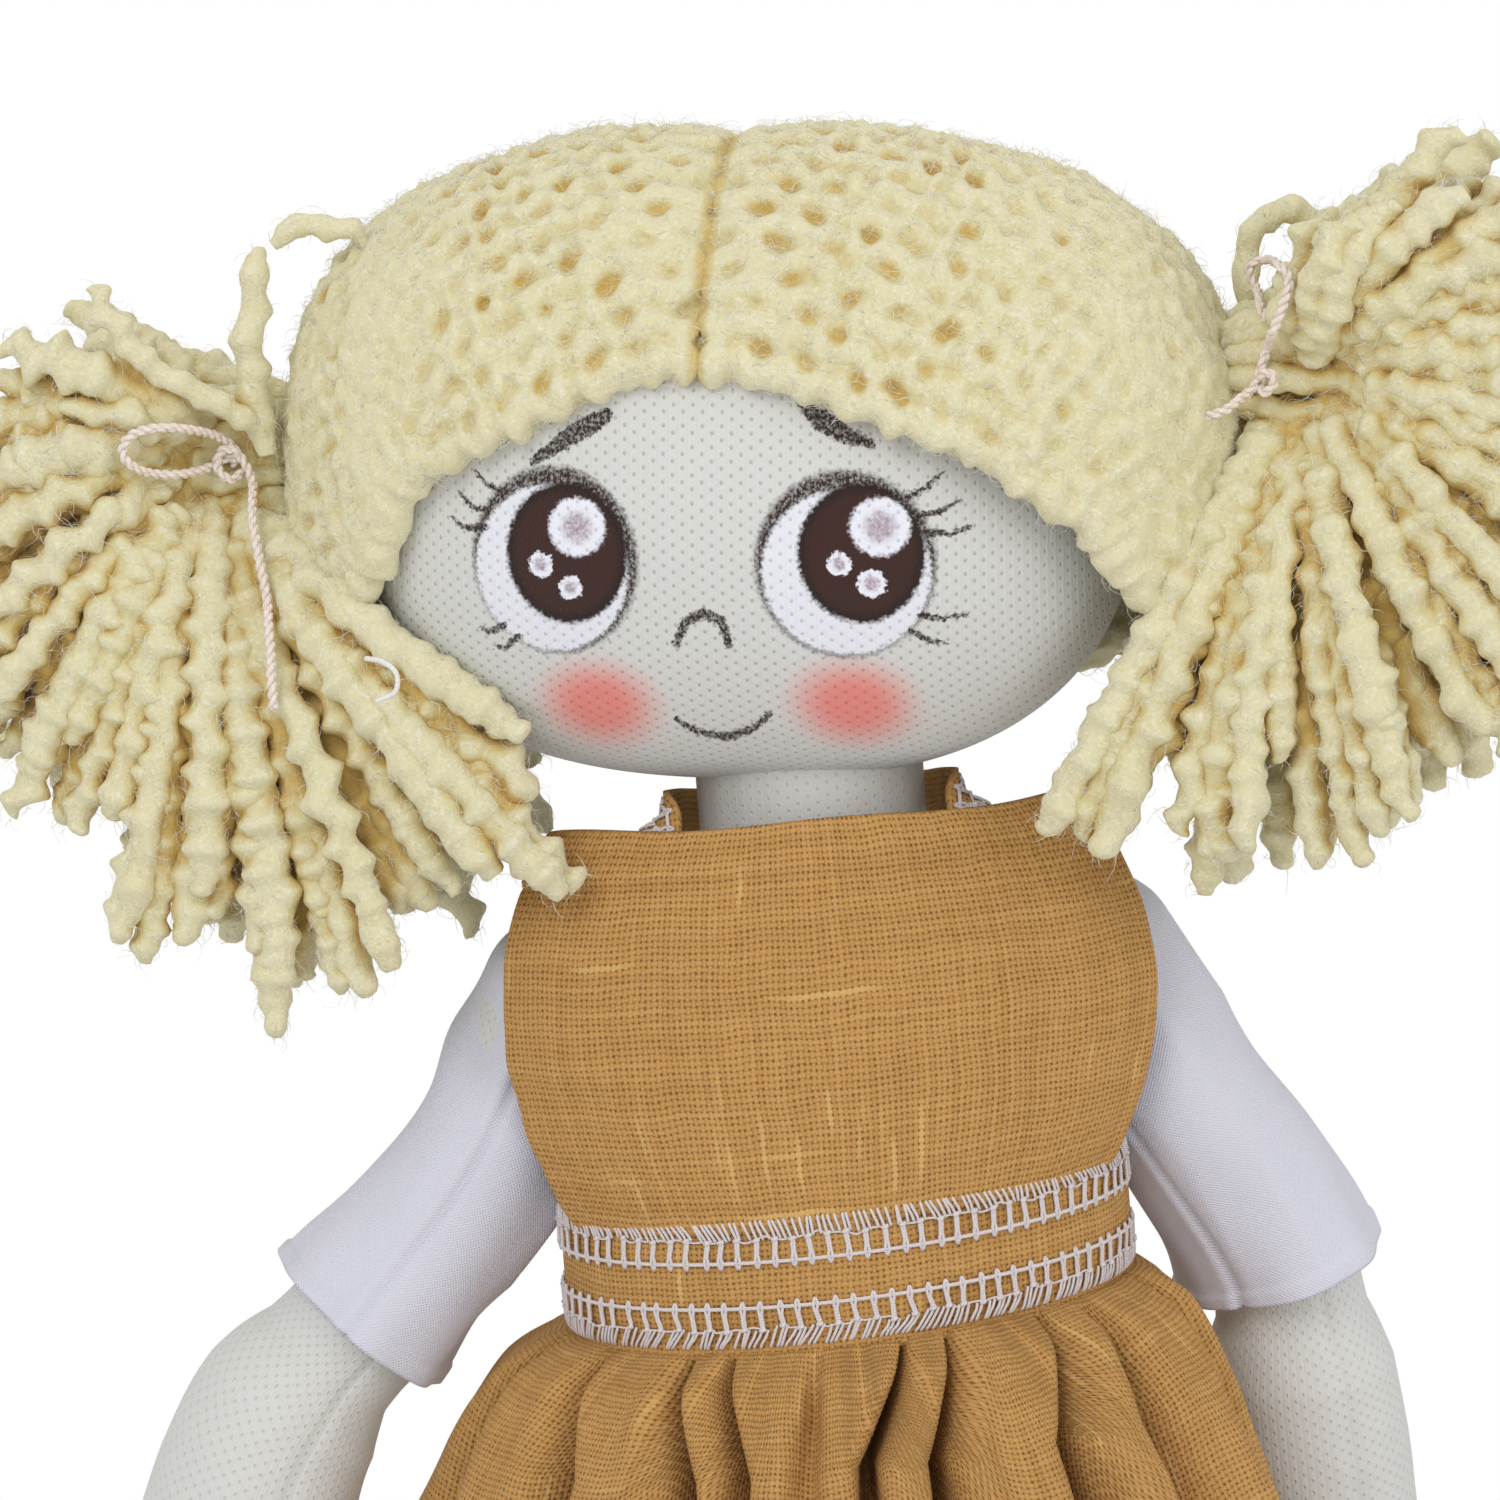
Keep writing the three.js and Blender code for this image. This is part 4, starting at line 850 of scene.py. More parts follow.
def make_hair_cap(name, side):
    rng = rng_for(name)
    shape, yarns, steps = Shape(), [], 230
    reach = HAIR_HALVES[0] + side * HAIR_SHIFT - 0.6
    x = side * (PARTING_HALF + (reach - PARTING_HALF) * np.linspace(0, 1, steps) ** 0.92)
    front = angle_at_line(x, HAIRLINES[name], -1.2, math.pi / 2)
    nape = angle_at_line(x, NAPE_LINE, math.pi + 1.2, math.pi / 2)
    turns = front + (nape - front) * np.linspace(0, 1, 90)[:, None]
    section = hair_surface(np.broadcast_to(x, turns.shape), turns, np.full(turns.shape, ROW_YARN))
    over = np.stack([lengths_along(section[:, k]) for k in range(steps)], 1)
    parting = PARTING_GROOVE * smooth_step(*PARTING_GROOVE_WIDTHS, np.abs(x)) + PARTING_DIP * hump(x, 0, 6.5)

    def angle_at(place):
        return np.array([np.interp(p * over[-1, k], over[:, k], turns[:, k])
                         for k, p in enumerate(np.broadcast_to(place, steps))])

    def row_noise(along, row, seed):
        return value_noise(np.stack([along, np.full(steps, row), np.zeros(steps)], 1), 1, seed)

    thickness = np.clip(over[-1] / ROW_COUNT * ROW_SHARE, *ROW_LIMITS)
    for row in range(ROW_COUNT):
        place = (row + 0.66) / (ROW_COUNT + 0.3)
        flat = hair_surface(x, angle_at(place), np.full(steps, ROW_YARN * 0.9))
        along = lengths_along(flat)
        drift = row_noise(along / 16, row * 0.37, 5)
        beat = along / STITCH_LENGTH * TURN + (row % 2) * math.pi + 2.2 * drift + rng.normal(0, 0.8)
        uneven = 1 + 0.45 * row_noise(along / 7, row * 1.7, 6)
        swing = np.sin(beat) * uneven * ROW_SWING / ROW_COUNT
        lift = STITCH_LIFT * np.cos(beat * 2 + 0.5) * uneven
        sink = ROW_YARN * 1.1 - lift + parting + 0.5 * value_noise(flat, 9, 3) + CROWN_SINK
        path = hair_surface(x, angle_at(np.clip(place + swing, 0, 1)), sink)
        guide = hair_surface(x, angle_at(place), sink + lift)
        radius = thickness * (1 + 0.07 * value_noise(flat, 2.6, 11) + 0.09 * np.cos(beat * 1.6))
        shown = unit(path / np.array(HAIR_HALVES) ** 2) @ HEAD_MATRIX[:3, :3].T
        path = from_head(path)
        add_tube(shape, path, radius, 12, rng.uniform(0, 1), from_head(guide), ROW_LUMPS)
        yarns.append((path, radius, shown))
    under = front + (nape - front) * np.linspace(0.012, 0.988, 60)[:, None]
    wide = np.broadcast_to(np.r_[-side * 0.8, x[1:]], under.shape)
    layers = [hair_surface(wide, under, depth + LINING_FOLLOW * parting + 0 * wide)
              for depth in LINING_DEPTHS]
    lining = from_head(np.concatenate([layers[0], layers[1][::-1]]))
    shape.grid(np.swapaxes(lining, 0, 1), closed=True, capped=True, tone=0.2)
    shape.felt(HAIR_VOXEL, HAIR_ROUNDS, HAIR_OPEN, HAIR_DEEP)
    # Painted shade down the groove of the parting
    shade = PARTING_SHADE * smooth_step(*PARTING_SHADE_WIDTHS, np.abs(to_head(shape.points[0])[:, 0]))
    painted_shade = shape.values[0][:, 1]
    np.maximum(painted_shade, shade, out=painted_shade)
    add_fuzz(shape, yarns, FUZZ_SPACING, rng)
    shape.piece(f"knitted_hair_{name}", YARN, "yarn", "head", [f"hair_cap_{name}"])


# Pigtails: crimped strands that fan out from the tie
CRIMP_LENGTH, CRIMP_SWING, STRAND_RADIUS = 5.9, 0.7, 2.3
BUSH_DEPTH = 19
# Where the strands leave the tie: how far out, and how far from its middle
ROOT_OUT, ROOT_HALF = 6.5, 2.6
STRAND_WANDER, STRAND_DROOP = 2.2, 0.07
# Height and size of the bumps on the strands of the bush, the loose ones and the gathered ones
BUSH_LUMPS, LOOSE_LUMPS, GATHERED_LUMPS = (0.5, 2.1), (0.3, 2.3), (0.35, 2.3)
BUSH_FUZZ_SPACING = FUZZ_SPACING * 1.5
# Crowding at which the bush's painted shade starts, and at which it is full
BUSH_OPEN, BUSH_DEEP = 0.2, 0.64
# Each bush: where its tie is, and how far its strands reach at each angle up from straight outward
BUSHES = {
    "right": {"side": -1, "tie": (-55.5, -1, 0.3),
              "rim": [(-140, 50), (-134, 56), (-122, 66), (-110, 69), (-98, 67), (-88, 64), (-70, 55),
                      (-45, 45), (-20, 38), (0, 35), (20, 29), (34, 22)]},
    "left": {"side": 1, "tie": (60.6, -1, 11),
             "rim": [(-118, 54), (-105, 59), (-90, 59), (-60, 54), (-30, 47), (0, 43), (25, 40), (45, 34),
                     (53, 25), (65, 17)]},
}
# Layers of strands from front to back: share of the bush's half depth, and strands in the layer
BUSH_LAYERS = [(-1, 36), (-0.85, 36), (-0.52, 30), (0, 22), (0.5, 26), (0.84, 34), (1, 34)]
INNER_ANGLE, INNER_SHARE = -100, 0.84
# Loose strands of each bush: places on the doll and a radius
LOOSE_STRANDS = {
    "right": [([(-60, -6, 263), (-65, -9, 266.6), (-72.5, -11, 271.9), (-78, -12, 281)], 1.4),
              ([(-60, -5, 260), (-61, -6, 269), (-60, -7, 277), (-58.5, -7, 284)], 2.1),
              ([(-57, -7, 284), (-54, -7, 286), (-50, -7, 285.6), (-45, -7, 283)], 1.6)],
    "left": [([(55, -2, 268), (56.4, 0, 276), (61, 2, 278.6), (65.5, 2, 275), (67.5, 0, 269)], 1.6)],
}
# Yarn inside the tie: how far out it reaches. Yarn drawn in round the tie: how far out, and from its middle
ROOT_COUNT, ROOT_REACH = 10, (-2.5, 1, 4.5, 8, 11)
GATHERED_COUNT, GATHERED = 18, [(-4.5, 5.5), (-1, 6.6), (3, 8.4), (8, 8.6), (14, 10.5), (21, 14)]


def crimped(path, rng, swing=CRIMP_SWING, radius=STRAND_RADIUS, start=14):
    """A strand's path and radii: it waves from side to side, swells at each wave, and starts out thin"""
    along = lengths_along(path)
    _, normals, others = frames_along(path)
    phase, lean = rng.uniform(0, TURN), rng.uniform(0, TURN)
    drift = (lean + 1.3 * np.sin(along / 13 + phase))[:, None]
    beat = along / CRIMP_LENGTH * TURN * rng.uniform(0.82, 1.18) + phase + 0.7 * np.sin(along / 5.3 + lean)
    ease = smooth_step(2, 12, along) * (0.85 + 0.4 * np.sin(along / 8.1 + phase))
    moved = path + (np.sin(beat) * swing * ease)[:, None] * (np.cos(drift) * normals + np.sin(drift) * others)
    uneven = 0.92 + 0.15 * np.sin(beat) ** 2 + 0.07 * np.sin(along / 3.7 + lean)
    size = radius * rng.uniform(0.84, 1.12) * uneven * (0.55 + 0.45 * smooth_step(0, start, along))
    tip = np.clip((along[-1] - along) / 4, 0, 1) ** 0.5
    return moved, np.maximum(size * (0.3 + 0.7 * tip), 0.3)


def make_pigtail(name, bush):
    """Returns the front of each strand, for the bow that lies over them"""
    rng = rng_for(f"bush_{name}")
    side, tie = bush["side"], np.array(bush["tie"], float)
    shape, yarns, fronts = Shape(), [], []
    front_way = HEAD_MATRIX[:3, 1]

    def strand(route, shown, lumps, on_tie=True, fuzzy_from=0, **crimp):
        """A crimped strand along a route from the tie. shown gives the directions that it shows."""
        path, radius = crimped(route, rng, **crimp)
        if on_tie:
            fronts.append(path - radius[:, None] * (0, 1, 0))
            path, route = from_head(path + tie), from_head(route + tie)
        add_tube(shape, path, radius, 10, rng.uniform(0, 1), route, lumps)
        ways = unit(shown(path, route))
        yarns.append((path[fuzzy_from:], radius[fuzzy_from:], ways[fuzzy_from:]))

    rim_angles, rim_reach = np.array(bush["rim"], float).T
    s = np.linspace(0, 1, 130)
    near_tie = (1 - s) ** 2
    spread = np.sin(np.clip(s / 0.6, 0, 1) * math.pi / 2)
    middle, tie_middle = (from_head(tie + (side * out, 0, level)) for out, level in ((14, -14), (6, 0)))
    for depth, count in BUSH_LAYERS:
        low = rim_angles[0] if depth == -1 else rim_angles[0] + 12
        for i in range(count):
            fan = low + (rim_angles[-1] - low) * (i + 0.5 + rng.normal(0, 0.45)) / count
            reach = np.interp(fan, rim_angles, rim_reach) * rng.uniform(0.8, 1.0)
            if fan < INNER_ANGLE and depth > -1:
                reach *= INNER_SHARE
            way, turn = math.radians(fan), rng.uniform(0, TURN)
            droop = STRAND_DROOP * reach * np.sin(s * math.pi) * math.cos(way)
            wander = rng.normal(0, STRAND_WANDER, 2)
            layer = BUSH_DEPTH * (depth * 0.97 + rng.uniform(-0.12, 0.1) * np.sign(depth)) * 0.93
            route = np.stack([
                side * (ROOT_OUT * near_tie + (math.cos(way) * reach + wander[0]) * s),
                layer * spread + ROOT_HALF * math.cos(turn) * near_tie,
                (math.sin(way) * reach + wander[1]) * s + droop + ROOT_HALF * math.sin(turn) * near_tie], 1)
            strand(route, lambda path, _: front_way * (22 if depth > 0 else -22) + 0.8 * (path - middle),
                   BUSH_LUMPS, fuzzy_from=12 if abs(depth) == 1 else 90)
    for points, size in LOOSE_STRANDS[name]:
        strand(spline(points, 90), lambda path, _: 0 * path - front_way, LOOSE_LUMPS, on_tie=False,
               radius=size, start=3)
    for i, turn in enumerate(circle(ROOT_COUNT)):
        ring = 2.9 if i % 2 else 2.5
        root = spline([(side * k, ring * math.cos(turn), ring * math.sin(turn)) for k in ROOT_REACH], 40)
        add_tube(shape, from_head(root + tie), 1.7, 10, rng.uniform(0, 1))
    for i in range(GATHERED_COUNT):
        turn = (i + rng.normal(0, 0.2)) / GATHERED_COUNT * TURN
        if 0 < math.cos(turn) < 0.25:
            continue
        route = spline([(side * k, r * -math.cos(turn), r * math.sin(turn)) for k, r in GATHERED], 60)
        strand(route, lambda _, guide: guide - tie_middle, GATHERED_LUMPS, swing=0.5, radius=1.9, start=3)
    core = spline([(side * k, 0, 0) for k in (-2.5, 3, 9)], 12)
    add_tube(shape, from_head(core + tie), 2.6, 10)
    shape.shade(BUSH_OPEN, BUSH_DEEP)
    add_fuzz(shape, yarns, BUSH_FUZZ_SPACING, rng)
    shape.piece(f"yarn_bush_{name}", YARN, "yarn", f"hair_{name}", [f"pigtail_{name}"])
    return np.concatenate(fronts)


# Twine
TWINE_RADIUS, TWIST_LENGTH = 0.55, 2.4
WINDING_TURNS, WINDING_PITCH, WINDING_RADIUS, WINDING_START = 3, 1.7, 5.4, 1.9
# Route of each bow: how far outward from the tie, how high, and how far in front of the yarn
BOW_ROUTES = {
    "right": [(-5, -28.4, 0), (-4.3, -22, 0), (-2.8, -14, 0), (-1, -7, 0), (0.4, -1.2, 0), (3.6, 2.6, 0),
              (8, 3.7, 0), (11.8, 2.9, 0), (13, 0.6, 0), (10.6, -1.6, 0), (6, -1.6, 0), (1.4, 0.8, 0)],
    "left": [(-8, -4, 7.5), (-5.6, -4.4, 6.8), (-3, -3.6, 4.5), (-1.2, -2.2, 1.5), (0.2, -0.8, 0),
             (1.4, 3, 0), (3.4, 8, 0), (4, 11.6, 0), (1.4, 13.2, 0), (-1.2, 12.2, 0), (0, 9.2, 0),
             (1.2, 6.4, 0)],
}
OVER_SPAN = 10
# The knot is at this place of the bow's route
KNOT_AT = 4
KNOT_SIZES = {"right": 1, "left": 0.62}
KNOT_ROUTE = [(1.2, 0.6, -1.6), (2.2, 2.2, -2.6), (3.8, 2.4, -1), (3, 2.6, 1), (1.4, 2.2, 0.6),
              (2.4, 0.6, -0.8)]


def add_twine(shape, path):
    """Two plies twisted round each other"""
    _, normals, others = frames_along(path)
    for ply in (0, math.pi):
        angle = (lengths_along(path) / TWIST_LENGTH * TURN + ply)[:, None]
        offset = TWINE_RADIUS * 0.5 * (np.cos(angle) * normals + np.sin(angle) * others)
        add_tube(shape, path + offset, TWINE_RADIUS * 0.62)


def over_yarn(route, fronts, gap):
    """The route laid in front of the yarn: over whatever strand is under each place, and smooth between"""
    path = spline(route, 240)
    reach = np.hypot(path[:, None, 0] - fronts[None, :, 0], path[:, None, 2] - fronts[None, :, 2])
    front = np.where(reach < 1.5, fronts[None, :, 1], 0).min(axis=1) - gap + path[:, 1]
    padded = np.pad(front, OVER_SPAN, mode="edge")
    front = np.min([padded[k:k + len(front)] for k in range(2 * OVER_SPAN + 1)], axis=0)
    weights = np.hanning(2 * OVER_SPAN + 1)
    path[:, 1] = np.convolve(np.pad(front, OVER_SPAN, mode="edge"), weights / weights.sum(), mode="valid")
    return path


def make_ties(name, bush, fronts):
    side, tie = bush["side"], np.array(bush["tie"], float)
    turns = np.linspace(0, WINDING_TURNS * TURN, 160)
    out = WINDING_START + turns / TURN * WINDING_PITCH
    winding = np.stack([side * out, WINDING_RADIUS * np.sin(turns), WINDING_RADIUS * np.cos(turns)], 1)
    x, level, _ = BOW_ROUTES[name][KNOT_AT]
    route = [(side * out, -forward, level) for out, level, forward in BOW_ROUTES[name]]
    front = over_yarn([(side * x, 0, level + k) for k in (-1, 0, 1)], fronts, 0.6)[120, 1] + 0.6
    size = KNOT_SIZES[name]
    knot = spline([(side * x * size, front - y, z * size) for x, y, z in KNOT_ROUTE], 40)
    for piece_name, replaces, paths in ((f"twine_winding_{name}", f"hair_tie_{name}", [winding]),
                                        (f"twine_bow_{name}", f"tie_bow_{name}",
                                         [over_yarn(route, fronts, 0.9), knot])):
        shape = Shape()
        for path in paths:
            add_twine(shape, from_head(path + tie))
        shape.piece(piece_name, TWINE, "twine", f"hair_{name}", [replaces])


def make_curl():
    """A short white thread caught in the right bush"""
    curl = Shape()
    route = [(-49.2, -25.6, 237), (-47.3, -27, 236.6), (-45.8, -27.4, 235.2), (-46.1, -27.2, 233.1),
             (-48.4, -26.4, 232.1)]
    add_tube(curl, spline(route, 40), 0.3, sides=8)
    curl.piece("loose_thread_right", STRONG, "strong_thread", "hair_right")


# Arms and sleeves
ARM_HALF_SPAN, SHOULDER_BACK, SHOULDER_LEVEL = 31.5, 5, 192
# How far from the doll's middle the seat on the torso keeps an arm and a sleeve
ARM_SEAT, SLEEVE_SEAT = 21.5, 20.3
ARM_STRETCHES = (22, 22, 20, 26)
UPPER_ARM, HAND = 9.5, 13
SLEEVE_WALL, SLEEVE_LENGTH = 1.2, 47
SLEEVE_HALF, SLEEVE_THICK = 11, 0.7
SLEEVE_HEM = UPPER_ARM + SLEEVE_WALL + SLEEVE_LENGTH
# The cloth arms lie this many degrees closer to the body than their solids
ARM_REST = 1.8
ARM_SWELL = [(0, 0), (0.55, 0), (0.61, 0.62), (0.7, 0.84), (0.88, 1), (1, 0.9)]
ARMS = {
    "right": {"side": -1, "splay": (31, 44, 44, 22), "back": 0, "seam": 0.15},
    "left": {"side": 1, "splay": (31, 29, 8, 4), "back": 10, "seam": 0.6},
}


def limb_rings(path, radius, dent):
    """Rings of points round a limb that hangs down; dent is added to the radius at each point of each ring"""
    tangents = unit(np.gradient(path, axis=0))
    across = unit(np.cross((0, 1, 0), tangents))
    front = np.cross(tangents, across)
    angles = circle(dent.shape[1])[None, :, None]
    reach = (radius[:, None] + dent)[..., None]
    return path[:, None] + reach * (np.cos(angles) * across[:, None] + np.sin(angles) * front[:, None])


def tube_places(along, angles, radius, stretch=1.0):
    """Places on an even tube, for noise that runs on all round a limb"""
    return np.stack(np.broadcast_arrays(
        radius * np.cos(angles), radius * np.sin(angles), stretch * along[:, None]), -1)


def rounded(radius, from_end):
    """Radius along a limb with a round end"""
    return radius * np.sqrt(1 - (1 - np.clip(from_end / radius, 0, 1)) ** 2)


def arm_path(arm):
    points = [np.zeros(3)]
    for length, splay in zip(ARM_STRETCHES, arm["splay"]):
        angle = math.radians(splay - ARM_REST)
        points.append(points[-1] + length * np.array([arm["side"] * math.sin(angle), 0, -math.cos(angle)]))
    start = -unit(points[1]) * (UPPER_ARM + SLEEVE_WALL)
    end = points[-1] + unit(points[-1] - points[-2]) * (HAND + SLEEVE_WALL)
    return spline([start, *points, end], 240)


def place_arm(arm, local, seat):
    """From the shoulder's own frame to the doll's, kept outside the seat on the torso"""
    side, tilt = arm["side"], math.radians(arm["back"])
    x, y, z = np.moveaxis(local, -1, 0)
    return np.stack([side * (np.maximum(side * x, seat - ARM_HALF_SPAN) + ARM_HALF_SPAN),
                     y * math.cos(tilt) - z * math.sin(tilt) + SHOULDER_BACK,
                     y * math.sin(tilt) + z * math.cos(tilt) + SHOULDER_LEVEL], -1)


def make_arm(name, arm):
    path, angles = arm_path(arm), circle(96)
    along = lengths_along(path)
    swell = np.interp(along / along[-1], *np.array(ARM_SWELL).T)
    from_end = np.minimum(along, along[-1] - along) - SLEEVE_WALL
    radius = rounded(UPPER_ARM + (HAND - UPPER_ARM) * swell, from_end)
    place = tube_places(along, angles, 10)
    seam = -0.45 * hump(angles, 1.5 * math.pi - 0.35, 0.05)
    dent = 0.35 * value_noise(place, 11, 7) + 0.14 * value_noise(place, 3.5, 8) + seam
    under_hem = hump(along, SLEEVE_HEM + 2, 4.5)[:, None]
    dent = dent * smooth_step(0, 8, radius)[:, None] - 0.5 * under_hem
    keep = radius > 0.6
    rings = limb_rings(path[keep], radius[keep], dent[keep])
    girth = round(TURN * HAND / (2 * KNIT_COLUMN)) * 2 * KNIT_COLUMN
    shape = Shape().grid(place_arm(arm, rings, ARM_SEAT), closed=True, capped=True,
                         cloth=tube_cloth(path[keep], len(angles), girth))
    shape.piece(f"arm_cloth_{name}", SKIN, "skin_knit", f"arm_{name}",
                [f"arm_skin_{name}", f"arm_stuffing_{name}"], fill=0.9)


def make_sleeve(name, arm):
    path, angles = arm_path(arm), circle(110)
    path = path[lengths_along(path) <= SLEEVE_HEM]
    along = lengths_along(path)
    down = along[:, None]
    widening = 0.5 * smooth_step(12, 40, along) + 0.7 * smooth_step(SLEEVE_HEM - 14, SLEEVE_HEM, along)
    outer = rounded(UPPER_ARM + SLEEVE_WALL + widening, along)
    place = tube_places(along, angles, SLEEVE_HALF, 0.8)
    ridged = 1 - 2 * np.abs(value_noise(place * (1, 1, 0.55), 7.5, 23 + len(name)))
    folds = 0.8 * value_noise(place, 12, 21 + len(name)) + 0.55 * (ridged - 0.4)
    slack = np.sin((down + 4.5 * np.sin(angles * 2 + 1)) / 3.1) * hump(down, 17, 9)
    folds = folds + 0.7 * slack * (0.5 + 0.5 * np.sin(angles + 2))
    ruffle = 0.6 * np.sin(3 * angles + 0.8) + 0.35 * np.sin(7 * angles)
    folds = folds + ruffle * smooth_step(SLEEVE_HEM - 16, SLEEVE_HEM, down)
    folds = folds + 0.35 * smooth_step(SLEEVE_HEM - 2.6, SLEEVE_HEM - 2.3, down)
    seam_angle = 1.5 * math.pi + arm["seam"]
    seam = -0.6 * hump(angles, seam_angle, 0.035) + 0.3 * hump(angles, seam_angle + 0.12, 0.07)
    folds = (folds + seam) * smooth_step(1, 9, outer)[:, None]
    keep = outer > 0.8
    front, back = (limb_rings(path[keep], outer[keep] - depth, folds[keep])
                   for depth in (0, SLEEVE_THICK))
    loop, both = thick_sheet(front, back, tube_cloth(path[keep], len(angles), TURN * SLEEVE_HALF))
    shape = Shape().grid(place_arm(arm, loop, SLEEVE_SEAT), closed=True, capped=True, cloth=both)
    sleeve = shape.piece(f"sleeve_cloth_{name}", COTTON, "white_cotton", f"arm_{name}", [f"sleeve_{name}"])


# Torso, neck and legs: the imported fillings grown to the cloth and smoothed
CLOTH_OVER_FILLING, SOFT_ROUNDS = 1.15, 3
LEG_SPREAD, SOLE_MIDDLE, SOLE_HALVES = 22, -9, (12, 21)
# Rings of a sole: share of its size, and level
SOLE_RINGS = [(0.02, 0), (0.9, 0), (0.97, 0.1), (1, 0.4), (1, 0.75), (0.97, 1.0), (0.02, 1.0)]


def plump(part, side, voxel, material, x, girth):
    """A stuffed part whose cloth coordinates run round an upright line at x"""
    grown = "DISPLACE", {"strength": CLOTH_OVER_FILLING * MM, "mid_level": 0}
    filling = f"{part}_stuffing{side}"
    mesh = reshaped(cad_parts[filling].data.copy(), remeshed(voxel), grown, smoothed(SOFT_ROUNDS))
    points = fetched(mesh.vertices, "co", 3) / MM
    corners = fetched(mesh.loops, "vertex_index", kind=np.int32)
    starts = fetched(mesh.polygons, "loop_start", kind=np.int32)
    angle = np.arctan2(points[:, 0] - x, points[:, 1])
    flat = np.stack([angle / TURN * girth, points[:, 2]], 1)[corners]
    first = np.repeat(flat[starts, 0], np.diff(np.r_[starts, len(corners)]))
    flat[:, 0] -= girth * np.round((flat[:, 0] - first) / girth)
    lay_cloth(mesh, flat)
    settle(f"{part}_cloth{side}", mesh, material, f"{part}{side}", [f"{part}_skin{side}", filling])


def make_body():
    plump("torso", "", 1.1, COTTON, 0, 176)
    plump("neck", "", 0.9, SKIN, 0, 36 * 2 * KNIT_COLUMN)
    angles = circle(72)
    for name, x in (("right", -LEG_SPREAD), ("left", LEG_SPREAD)):
        plump("leg", f"_{name}", 1.0, SKIN, x, 30 * 2 * KNIT_COLUMN)
        rings = np.array([np.stack([x + SOLE_HALVES[0] * share * np.cos(angles),
                                    SOLE_MIDDLE + SOLE_HALVES[1] * share * np.sin(angles),
                                    np.full(len(angles), level)], 1) for share, level in SOLE_RINGS])
        sole = Shape().grid(rings, closed=True, capped=True, cloth=closed(rings[:, :, :2], 1))
        sole.piece(f"sole_cloth_{name}", SKIN, "skin_knit", f"leg_{name}", [f"foot_sole_{name}"])


# Pinafore: waistband
BELT_ANGLES = np.linspace(0, TURN, 2001)
BELT_LENGTHS = lengths_along(np.stack([np.cos(BELT_ANGLES), np.sin(BELT_ANGLES)], 1) * BELT_HALVES)
BELT_GIRTH = BELT_LENGTHS[-1]
# Overlock: room between the stitches, from the line of knots to the edge, and between the loops over it
STITCH_PITCH, KNOTS_TO_EDGE, LOOP_PITCH = 2.12, 2.1, 0.62
CROSS_THREAD_SHARE = 0.7


def belt_tilt(x, y):
    """The waistband sits askew: higher on the doll's left, lower in front"""
    return 0.04 * x + 0.06 * y


def belt_point(along, level, out=0.0):
    """Point on the waistband at a length along it, a level, and a distance out from its surface"""
    angle = np.interp(np.mod(along, BELT_GIRTH), BELT_LENGTHS, BELT_ANGLES)
    a, b = BELT_HALVES
    normal = unit(np.stack([b * np.cos(angle), a * np.sin(angle)], -1))
    level = np.asarray(level, float)
    crown = 0.35 * np.sin(np.clip((level - BELT_BOTTOM) / (BELT_TOP - BELT_BOTTOM), 0, 1) * math.pi)
    push = np.asarray(out) + crown - 0.25
    x, y = a * np.cos(angle), b * np.sin(angle)
    return np.stack([x + normal[..., 0] * push, y + normal[..., 1] * push, level + belt_tilt(x, y)], -1)


def make_waistband():
    along = np.linspace(0, BELT_GIRTH, 240, endpoint=False)
    # Rows round the band's thickness: how far out each is, and its level
    rows = [(0.0, BELT_BOTTOM + 0.35), (0.05, BELT_BOTTOM + 0.6)]
    rows += [(0, level) for level in np.linspace(BELT_BOTTOM + 1, BELT_TOP - 1, 18)]
    rows += [(0, BELT_TOP - 0.4), (-0.3, BELT_TOP - 0.05), (-0.9, BELT_TOP - 0.1), (-1.1, BELT_TOP - 0.6)]
    rows += [(-1.1, level) for level in np.linspace(BELT_TOP - 1, BELT_BOTTOM + 1, 6)]
    rows += [(-0.9, BELT_BOTTOM + 0.1), (-0.3, BELT_BOTTOM + 0.05)]
    wave = 0.12 * np.sin(along / 4.1) + 0.1 * np.sin(along / 9.7 + 1)
    rings = closed(np.array([belt_point(along, np.full(len(along), level), out + wave)
                             for out, level in rows]))
    v = lengths_along(closed(np.array(rows)))
    cloth = np.stack(np.broadcast_arrays(np.r_[along, BELT_GIRTH][None, :], v[:, None]), -1)
    belt = Shape().grid(rings, closed=True, cloth=cloth)
    piece = belt.piece("waistband_cloth", LINEN, "linen", "torso", ["waistband"])


